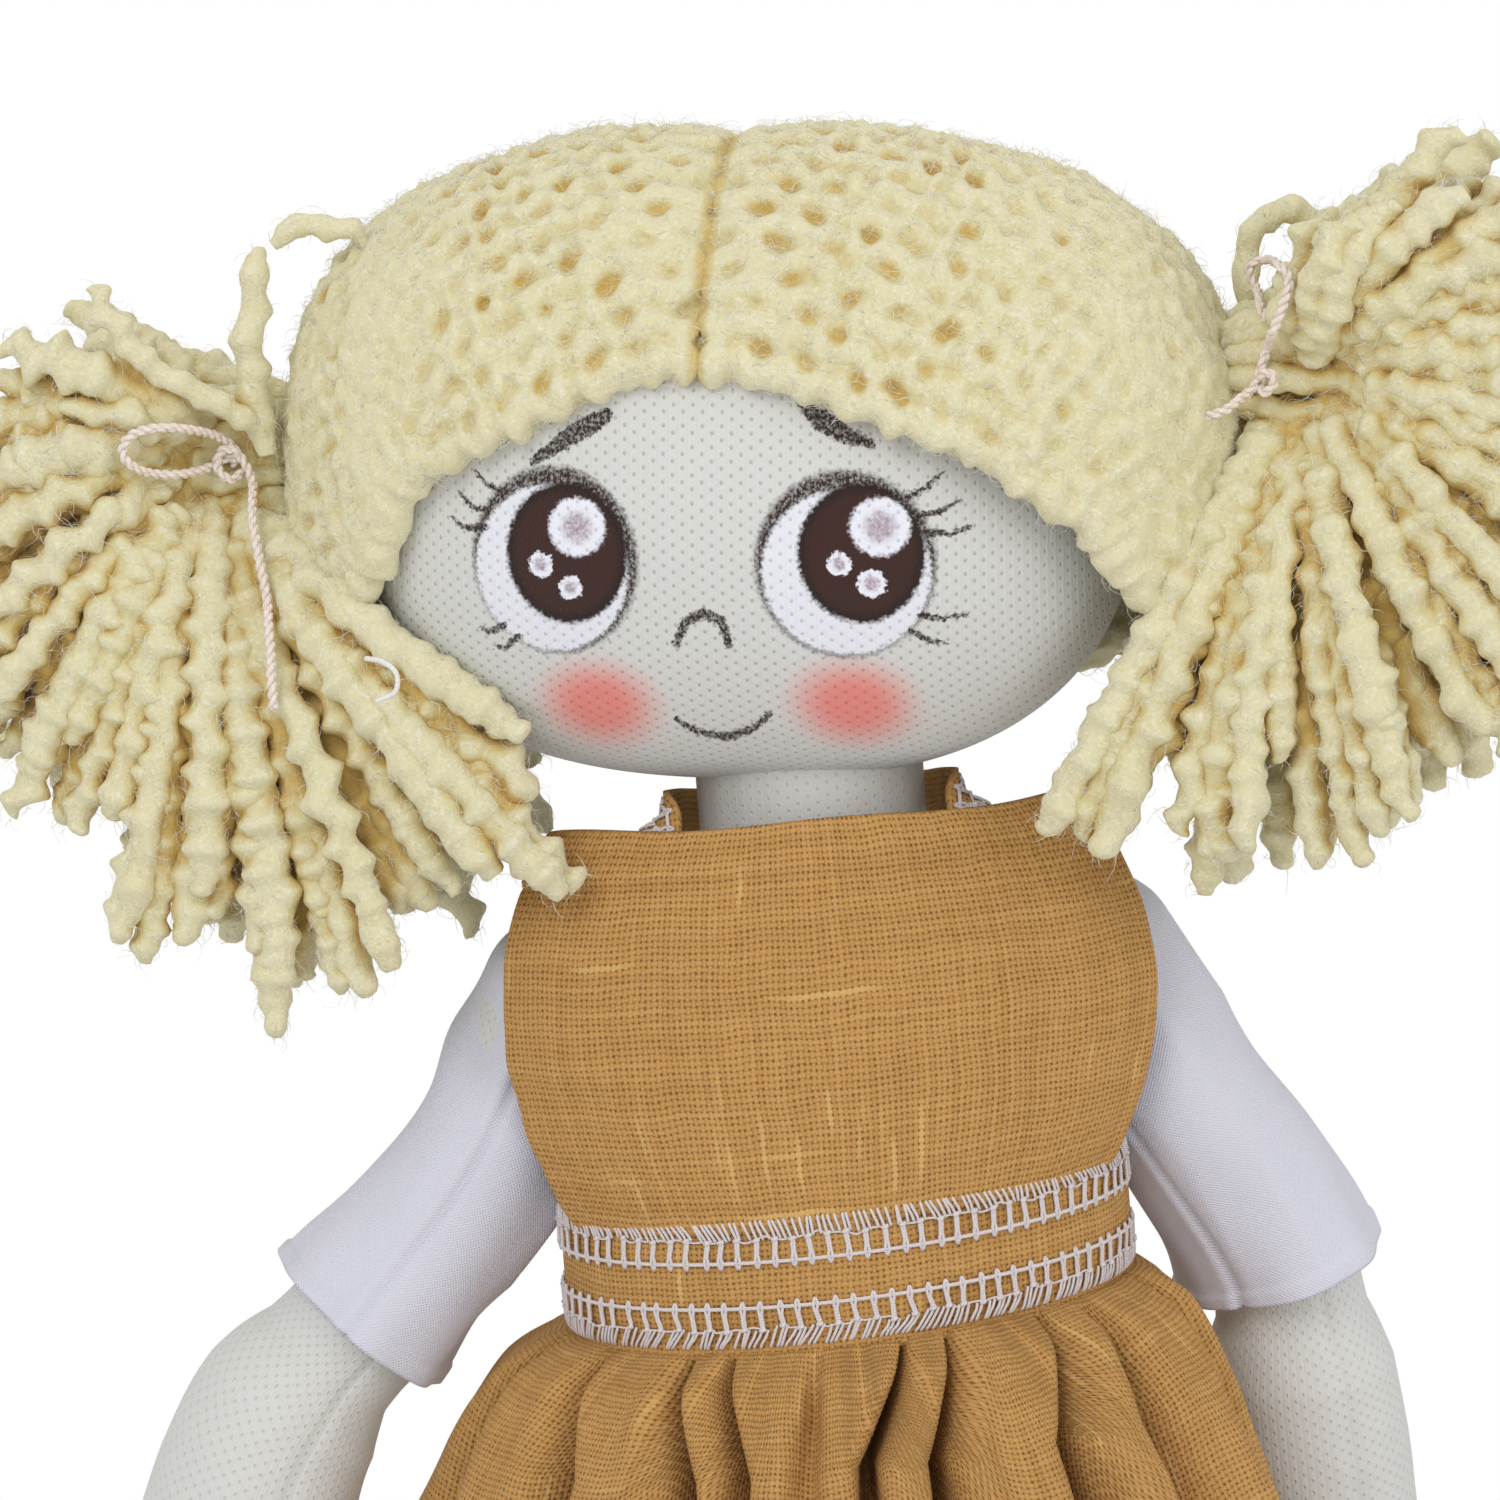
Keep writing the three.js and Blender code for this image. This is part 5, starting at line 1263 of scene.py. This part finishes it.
def overlock(shape, name, along_point, edge, chain, direction, girth):
    """Overlock stitches along an edge: a chain of small eyes, rungs to a line of knots, and slanting loops
    from there over the edge"""
    rng = rng_for(name)
    count = int(girth / STITCH_PITCH)
    pitch = girth / count
    middle = edge - direction * KNOTS_TO_EDGE

    def thread(points, radius, steps):
        along, level, out = spline(points, steps).T
        add_tube(shape, along_point(along, level, out), radius, tone=rng.uniform(0, 1))

    starts = [k * pitch + rng.normal(0, 0.14) for k in range(count + 1)]
    slant = 0.0
    for at, after in zip(starts, starts[1:]):
        slant = 0.85 * slant + rng.normal(0, 0.3)
        knot = at + slant * 0.35
        level = middle + rng.normal(0, 0.14)
        for offset in (-0.17, 0.17):
            thread([(at, chain - direction * 0.75, 0.12), (at + offset * 1.5, chain, 0.3),
                    (at + offset * 0.7, chain + direction * 0.9, 0.32),
                    (knot + offset * 0.8, level - direction * 0.4, 0.34),
                    (knot, level + direction * 0.15, 0.3)], 0.2, 10)
        thread([(at - 0.28, chain, 0.24), (at, chain, 0.16), (at + 0.28, chain, 0.28),
                ((at + after) / 2, chain, 0.34), (after - 0.28, chain, 0.28)], 0.24, 8)
        thread([(knot - 0.3, level - 0.1, 0.3), (knot, level, 0.48), (knot + 0.3, level + 0.1, 0.3)], 0.28, 5)
        if rng.uniform() < CROSS_THREAD_SHARE:
            thread([(knot, level, 0.3), (at + 1.0, middle + rng.normal(0, 0.2), 0.34),
                    (after + slant * 0.35, middle, 0.3)], 0.13, 6)
        for k in (-1, 0, 1):
            foot = knot + k * LOOP_PITCH + rng.normal(0, 0.1)
            head = foot - 0.75 - slant * 0.8 + rng.normal(0, 0.14)
            thread([(foot, level, 0.3), ((foot * 2 + head) / 3, level + direction * 0.8, 0.4),
                    ((foot + head * 3) / 4, edge - direction * 0.5, 0.36), (head, edge, 0.2),
                    (head - 0.05, edge + direction * 0.2, -0.1)], 0.18, 9)


def make_belt_stitches():
    shape = Shape()
    overlock(shape, "belt_top", belt_point, BELT_TOP - 0.1, BELT_TOP - 4.8, 1, BELT_GIRTH)
    overlock(shape, "belt_bottom", belt_point, BELT_BOTTOM + 1.9, BELT_BOTTOM + 6.5, -1, BELT_GIRTH)
    shape.piece("waistband_stitches", OVERLOCK, "linen", "torso")


# Bib
BIB_SWELL, BIB_TOP_HALF, BIB_TOP_DEPTH, BIB_WRAP = 41, 32.5, 17.6, 68
BIB_THICK = 0.75


def bib_point(share, across, depth):
    """Point on the bib: share up it, across from -1 to 1, and depth behind its front"""
    up = np.clip(share, 0, 1)
    base = BELT_HALVES[0] + (BIB_TOP_HALF - BELT_HALVES[0]) * share
    half_width = base + (BIB_SWELL - base) * np.sin(up * math.pi) ** 0.8
    half_depth = BELT_HALVES[1] + (BIB_TOP_DEPTH - BELT_HALVES[1]) * up ** 1.5
    angle = math.radians(BIB_WRAP) * across
    x, y = (half_width - depth) * np.sin(angle), -(half_depth - depth) * np.cos(angle)
    level = BELT_TOP - 1.5 + (BIB_TOP - BELT_TOP + 1.5) * share + belt_tilt(x, y) * (1 - share)
    return np.stack([x, y, level], -1)


def make_bib():
    share, across = np.broadcast_arrays(np.linspace(0, 1, 110)[:, None], np.linspace(-1, 1, 130)[None, :])
    flat = bib_point(share, across, 0 * share)
    drape = 0.5 * value_noise(flat, 17, 31) + 0.25 * value_noise(flat * (1, 1, 1.8), 8, 32)
    drape = drape * smooth_step(0.02, 0.25, share)
    hem = smooth_step(0.86, 0.875, share) * 0.45 - 0.35 * hump(share, 0.868, 0.006)
    side = smooth_step(0.93, 0.955, np.abs(across)) * 0.3
    top = np.stack([0 * share, 0 * share, 0.25 * np.sin(across * 7 + 1) * smooth_step(0.9, 1, share)], -1)
    front = bib_point(share, across, -(drape + hem + side)) + top
    back = bib_point(share, across, BIB_THICK - 0.6 * drape) + top
    u = np.broadcast_to(lengths_along(front[len(front) // 2]), share.shape)
    cloth = np.stack([u, share * (BIB_TOP - BELT_TOP)], -1)
    loop, both = thick_sheet(front, back, cloth)
    shape = Shape().grid(closed(loop), cloth=closed(both))
    for column, first, second in ((0, front, back), (-1, back, front)):
        shape.grid(np.stack([first[:, column], second[:, column]], 1),
                   cloth=np.stack([cloth[:, column]] * 2, 1))
    bib = shape.piece("bib_cloth", LINEN, "linen", "torso", ["bodice_bib"])


# Strap: half of its route from the bib to behind the neck, from the neck's pivot, and the way it faces there
STRAP_ROUTE = [(18, -13.4, 1.6), (18, -12.7, 5.4), (17.8, -11, 8.5), (17, -6.6, 9.4), (16, 2, 8.8),
               (12.3, 10.6, 7.6), (0, 16.6, 6.6)]
STRAP_FACING = [-74, -70, -46, -16, 8, 42, 90]
STRAP_HALF, STRAP_HALF_THICK = 2.6, 0.4


def make_strap():
    points = STRAP_ROUTE + [(-x, y, z) for x, y, z in STRAP_ROUTE[-2::-1]]
    facing = STRAP_FACING + [180 - a for a in STRAP_FACING[-2::-1]]
    path = spline(points, 150) + (0, 0, NECK_PIVOT)
    angle = np.radians(np.interp(np.linspace(0, 1, len(path)), np.linspace(0, 1, len(facing)), facing))
    ahead = np.gradient(path, axis=0)
    across = unit(np.cross(ahead, np.stack([np.cos(angle), np.sin(angle), 0 * angle], 1)))
    outward = unit(np.cross(across, ahead))
    spread = np.linspace(-STRAP_HALF, STRAP_HALF, 9)
    middle = path[:, None] + spread[None, :, None] * across[:, None]
    thick = STRAP_HALF_THICK * outward[:, None]
    v = lengths_along(path)
    u = np.concatenate([spread, spread[::-1], spread[:1]])
    cloth = np.stack(np.broadcast_arrays(u[None, :], v[:, None]), -1)
    ring = np.concatenate([middle + thick, (middle - thick)[:, ::-1]], 1)
    strap = Shape().grid(ring, closed=True, capped=True, cloth=cloth)
    piece = strap.piece("neck_strap_cloth", LINEN, "linen", "torso", ["neck_strap"])

    def strap_point(at, level, out):
        row = np.interp(np.clip(at, 0, v[-1]), v, np.arange(len(v)))
        low = np.clip(row.astype(int), 0, len(v) - 2)
        part = (row - low)[:, None]
        place, side, up = (grid[low] * (1 - part) + grid[low + 1] * part for grid in (path, across, outward))
        return place + level[:, None] * side + (out + 0.35)[:, None] * up

    stitches = Shape()
    overlock(stitches, "strap", strap_point, STRAP_HALF, STRAP_HALF - 3.8, 1, v[-1] - 2)
    stitches.piece("neck_strap_stitches", OVERLOCK, "linen", "torso")


# Skirt
HEM_LEVEL, HEM_HALVES = 74, (70, 54)
SKIRT_FLARE, SKIRT_DEPTH_FLARE = 0.52, 0.7
SKIRT_THICK = 0.7
# A tuck's half width at the waistband and what it gains down to the hem, in degrees; its depth at the
# waistband, what it gains just below and what it loses down to the hem
TUCK_WIDTH, TUCK_WIDENING = 2.0, 8.0
TUCK_DEPTH, TUCK_DEEPENING, TUCK_FADING = 3.8, 7.6, 4.5
# Tucks round the skirt: angle at the waistband, angles a sixth of the way down and at the hem, depth share
TUCKS = [(-156, -150, -150, 0.8), (-135, -128, -125, 1.15), (-125, -117, -112, 0.8), (-101, -103, -104, 0.35),
         (-76, -90, -92, 1.0), (-64, -75, -76, 1.0), (-40, -49, -45, 1.3), (-30, -33, -30, 0.7),
         (-12, -14, -12, 0.9), (10, 10, 10, 0.8), (31, 31, 33, 1), (52, 52, 50, 0.9), (66, 66, 70, 0.7),
         (88, 88, 88, 1.1), (104, 104, 102, 0.7), (124, 124, 126, 1), (145, 145, 144, 0.8),
         (166, 166, 168, 1.1), (187, 187, 185, 0.8)]
# The dent for the left hand
DENT_DEPTH, DENT_ANGLE, DENT_SPREAD = 22, 19, 16


def degrees_from(degrees, at):
    return (degrees - at + 540) % 360 - 180


def skirt_radius(share, degrees):
    """Distance of the skirt from the doll's middle line, before its folds"""
    half_width, half_depth = (waist - 0.4 + (hem - waist) * share ** flare for waist, hem, flare in zip(
        BELT_HALVES, HEM_HALVES, (SKIRT_FLARE, SKIRT_DEPTH_FLARE)))
    angle = np.radians(degrees)
    radius = half_width * half_depth / np.hypot(half_depth * np.cos(angle), half_width * np.sin(angle))
    dent = DENT_DEPTH * np.exp(-0.5 * (degrees_from(degrees, DENT_ANGLE) / DENT_SPREAD) ** 2)
    return radius - dent * np.sin(np.pi * np.clip(share * 1.25, 0, 1)) ** 0.7


def skirt_fold(share, degrees):
    """Folds: narrow deep tucks at the gathers that open lower down, with round panels between them"""
    total, pinch = 0 * share, 0 * share
    width = TUCK_WIDTH + TUCK_WIDENING * share ** 0.9
    deep = TUCK_DEPTH + TUCK_DEEPENING * smooth_step(0, 0.1, share) - TUCK_FADING * share
    for top, upper, hem, strength in TUCKS:
        off = degrees_from(degrees, np.interp(share, (0, 0.16, 1), (top, upper, hem)))
        total = total - deep * strength * np.exp(-np.abs(off / width) ** 2.2)
        total = total + 0.9 * strength * hump(np.abs(off), width * 2, width * 0.9)
        lip = hump(np.abs(off), width * 1.15, width * 0.6)
        pinch = pinch - off * lip * 0.5 * smooth_step(0.75, 0.05, share) * min(strength, 1)
    return total + 1.3 * smooth_step(0, 0.05, share) + 0.5 * share, pinch


def make_skirt():
    rows, columns = 96, 1300
    share, degrees = np.broadcast_arrays(np.linspace(0, 1, rows)[:, None] ** 1.25,
                                         (np.arange(columns) / columns * 360)[None, :])
    fold, pinch = skirt_fold(share, degrees)
    angle = np.radians(degrees + pinch)
    top = BELT_BOTTOM + 1.2

    def grid(depth):
        radius = skirt_radius(share, degrees) + fold * smooth_step(-0.01, 0.03, share) - depth
        x, y = radius * np.cos(angle), radius * np.sin(angle)
        return np.stack([x, y, top + (HEM_LEVEL - top) * share + belt_tilt(x, y) * (1 - share) ** 2], -1)

    even = grid(0.0)
    ripple = (0.35 * value_noise(even, 9, 41) + 0.15 * value_noise(even, 4, 42)) * smooth_step(0, 0.1, share)
    front, back = grid(-ripple), grid(SKIRT_THICK - ripple)
    v = np.stack([lengths_along(front[:, k]) for k in range(columns)], 1)
    row = int(np.argmax(share[:, 0] > 0.2))
    u = np.broadcast_to(lengths_along(closed(front[row])), (rows, columns + 1))
    loop, both = thick_sheet(front, back, np.stack([u, closed(v, 1)], -1))
    # Painted shade inside the deep tucks, fading down the skirt
    fold_shade = smooth_step(1.5, 7.5, -fold) * smooth_step(1.0, 0.25, share)
    shape = Shape().grid(closed(loop), closed=True, cloth=closed(both),
                         painted_shade=closed(np.concatenate([fold_shade, fold_shade[::-1]])))
    skirt = shape.piece("skirt_cloth", LINEN, "linen", None, ["skirt"])
    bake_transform(skirt)


# Floor, light and camera
CAMERA_AIM = (-6.8, 0, 220.5)
CAMERA_DISTANCE, CAMERA_PITCH, CAMERA_ROLL, CAMERA_LENS = 620, 5.9, 4.6, 126.1
WORLD_LEVEL = 0.68
FLOOR_HALF = 3


def make_camera():
    data = bpy.data.cameras.new("camera")
    data.lens = CAMERA_LENS
    data.clip_start, data.clip_end = 0.01, 20
    camera = new_object("camera", data)
    pitch, roll = math.radians(CAMERA_PITCH), math.radians(CAMERA_ROLL)
    back = Vector((0, -math.cos(pitch), math.sin(pitch)))
    level_right = Vector((1, 0, 0))
    level_up = back.cross(level_right)
    right = math.cos(roll) * level_right - math.sin(roll) * level_up
    up = math.sin(roll) * level_right + math.cos(roll) * level_up
    place = (Vector(CAMERA_AIM) + back * CAMERA_DISTANCE) * MM
    camera.matrix_world = Matrix([*zip(right, up, back, place), (0, 0, 0, 1)])
    bpy.context.scene.camera = camera


def make_light(name, place, size, power):
    data = bpy.data.lights.new(name, "AREA")
    data.shape, data.size, data.energy = "DISK", size, power
    lamp = new_object(name, data)
    lamp.location = place
    lamp.rotation_mode = "QUATERNION"
    lamp.rotation_quaternion = (Vector(place) - Vector((0, 0, 0.2))).to_track_quat("Z", "Y")


def background_rays(s):
    """1 for the rays that show the background as it is: the camera's, and those in metal and glass"""
    rays = s.node("ShaderNodeLightPath").outputs
    mirrored = s.math("MAXIMUM", rays["Is Glossy Ray"], rays["Is Transmission Ray"])
    return s.math("MAXIMUM", rays["Is Camera Ray"], mirrored)


def make_stage():
    s = Shader("floor")
    level = s.scaled(s.value("ShaderNodeTexCoord", "Object"), 1, 1, 0)
    far = s.step(s.vector("LENGTH", level, result="Value"), 0.2, 0.5)
    s.output("ShaderNodeOutputMaterial", s.node("ShaderNodeMixShader", {
        0: far * background_rays(s),
        1: s.value("ShaderNodeBsdfDiffuse", 0, {"Color": (0.86, 0.86, 0.86, 1)}),
        2: s.value("ShaderNodeEmission", 0, {"Color": (1, 1, 1, 1), "Strength": 1.0})}))
    mesh = bpy.data.meshes.new("floor")
    corners = [(x * FLOOR_HALF, y * FLOOR_HALF, 0) for x, y in ((-1, -1), (1, -1), (1, 1), (-1, 1))]
    mesh.from_pydata(corners, [], [(0, 1, 2, 3)])
    mesh.materials.append(s.material)
    floor = new_object("floor", mesh)


def make_world():
    world = bpy.data.worlds.new("studio")
    bpy.context.scene.world = world
    world.use_nodes = True
    s = Shader("world", world.node_tree)
    level = background_rays(s) * (1 - WORLD_LEVEL) + WORLD_LEVEL
    background = s.node("ShaderNodeBackground", {"Color": (1, 1, 1, 1), "Strength": level})
    s.output("ShaderNodeOutputWorld", background)


make_camera()
make_stage()
make_world()
make_light("key", (-0.45, -0.9, 0.95), 0.7, 4.5)
make_light("fill", (0.8, -0.7, 0.45), 0.8, 2.2)
bpy.context.scene.view_settings.view_transform = "Standard"

make_head()
for side_name, bush_values in BUSHES.items():
    make_hair_cap(side_name, bush_values["side"])
    make_ties(side_name, bush_values, make_pigtail(side_name, bush_values))
make_curl()
for side_name, arm_values in ARMS.items():
    make_arm(side_name, arm_values)
    make_sleeve(side_name, arm_values)
make_body()
make_waistband()
make_belt_stitches()
make_bib()
make_strap()
make_skirt()
for thread_name in ("shoulder_thread", "hip_thread"):
    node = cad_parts[thread_name]
    node.data.materials.clear()
    node.data.materials.append(STRONG)
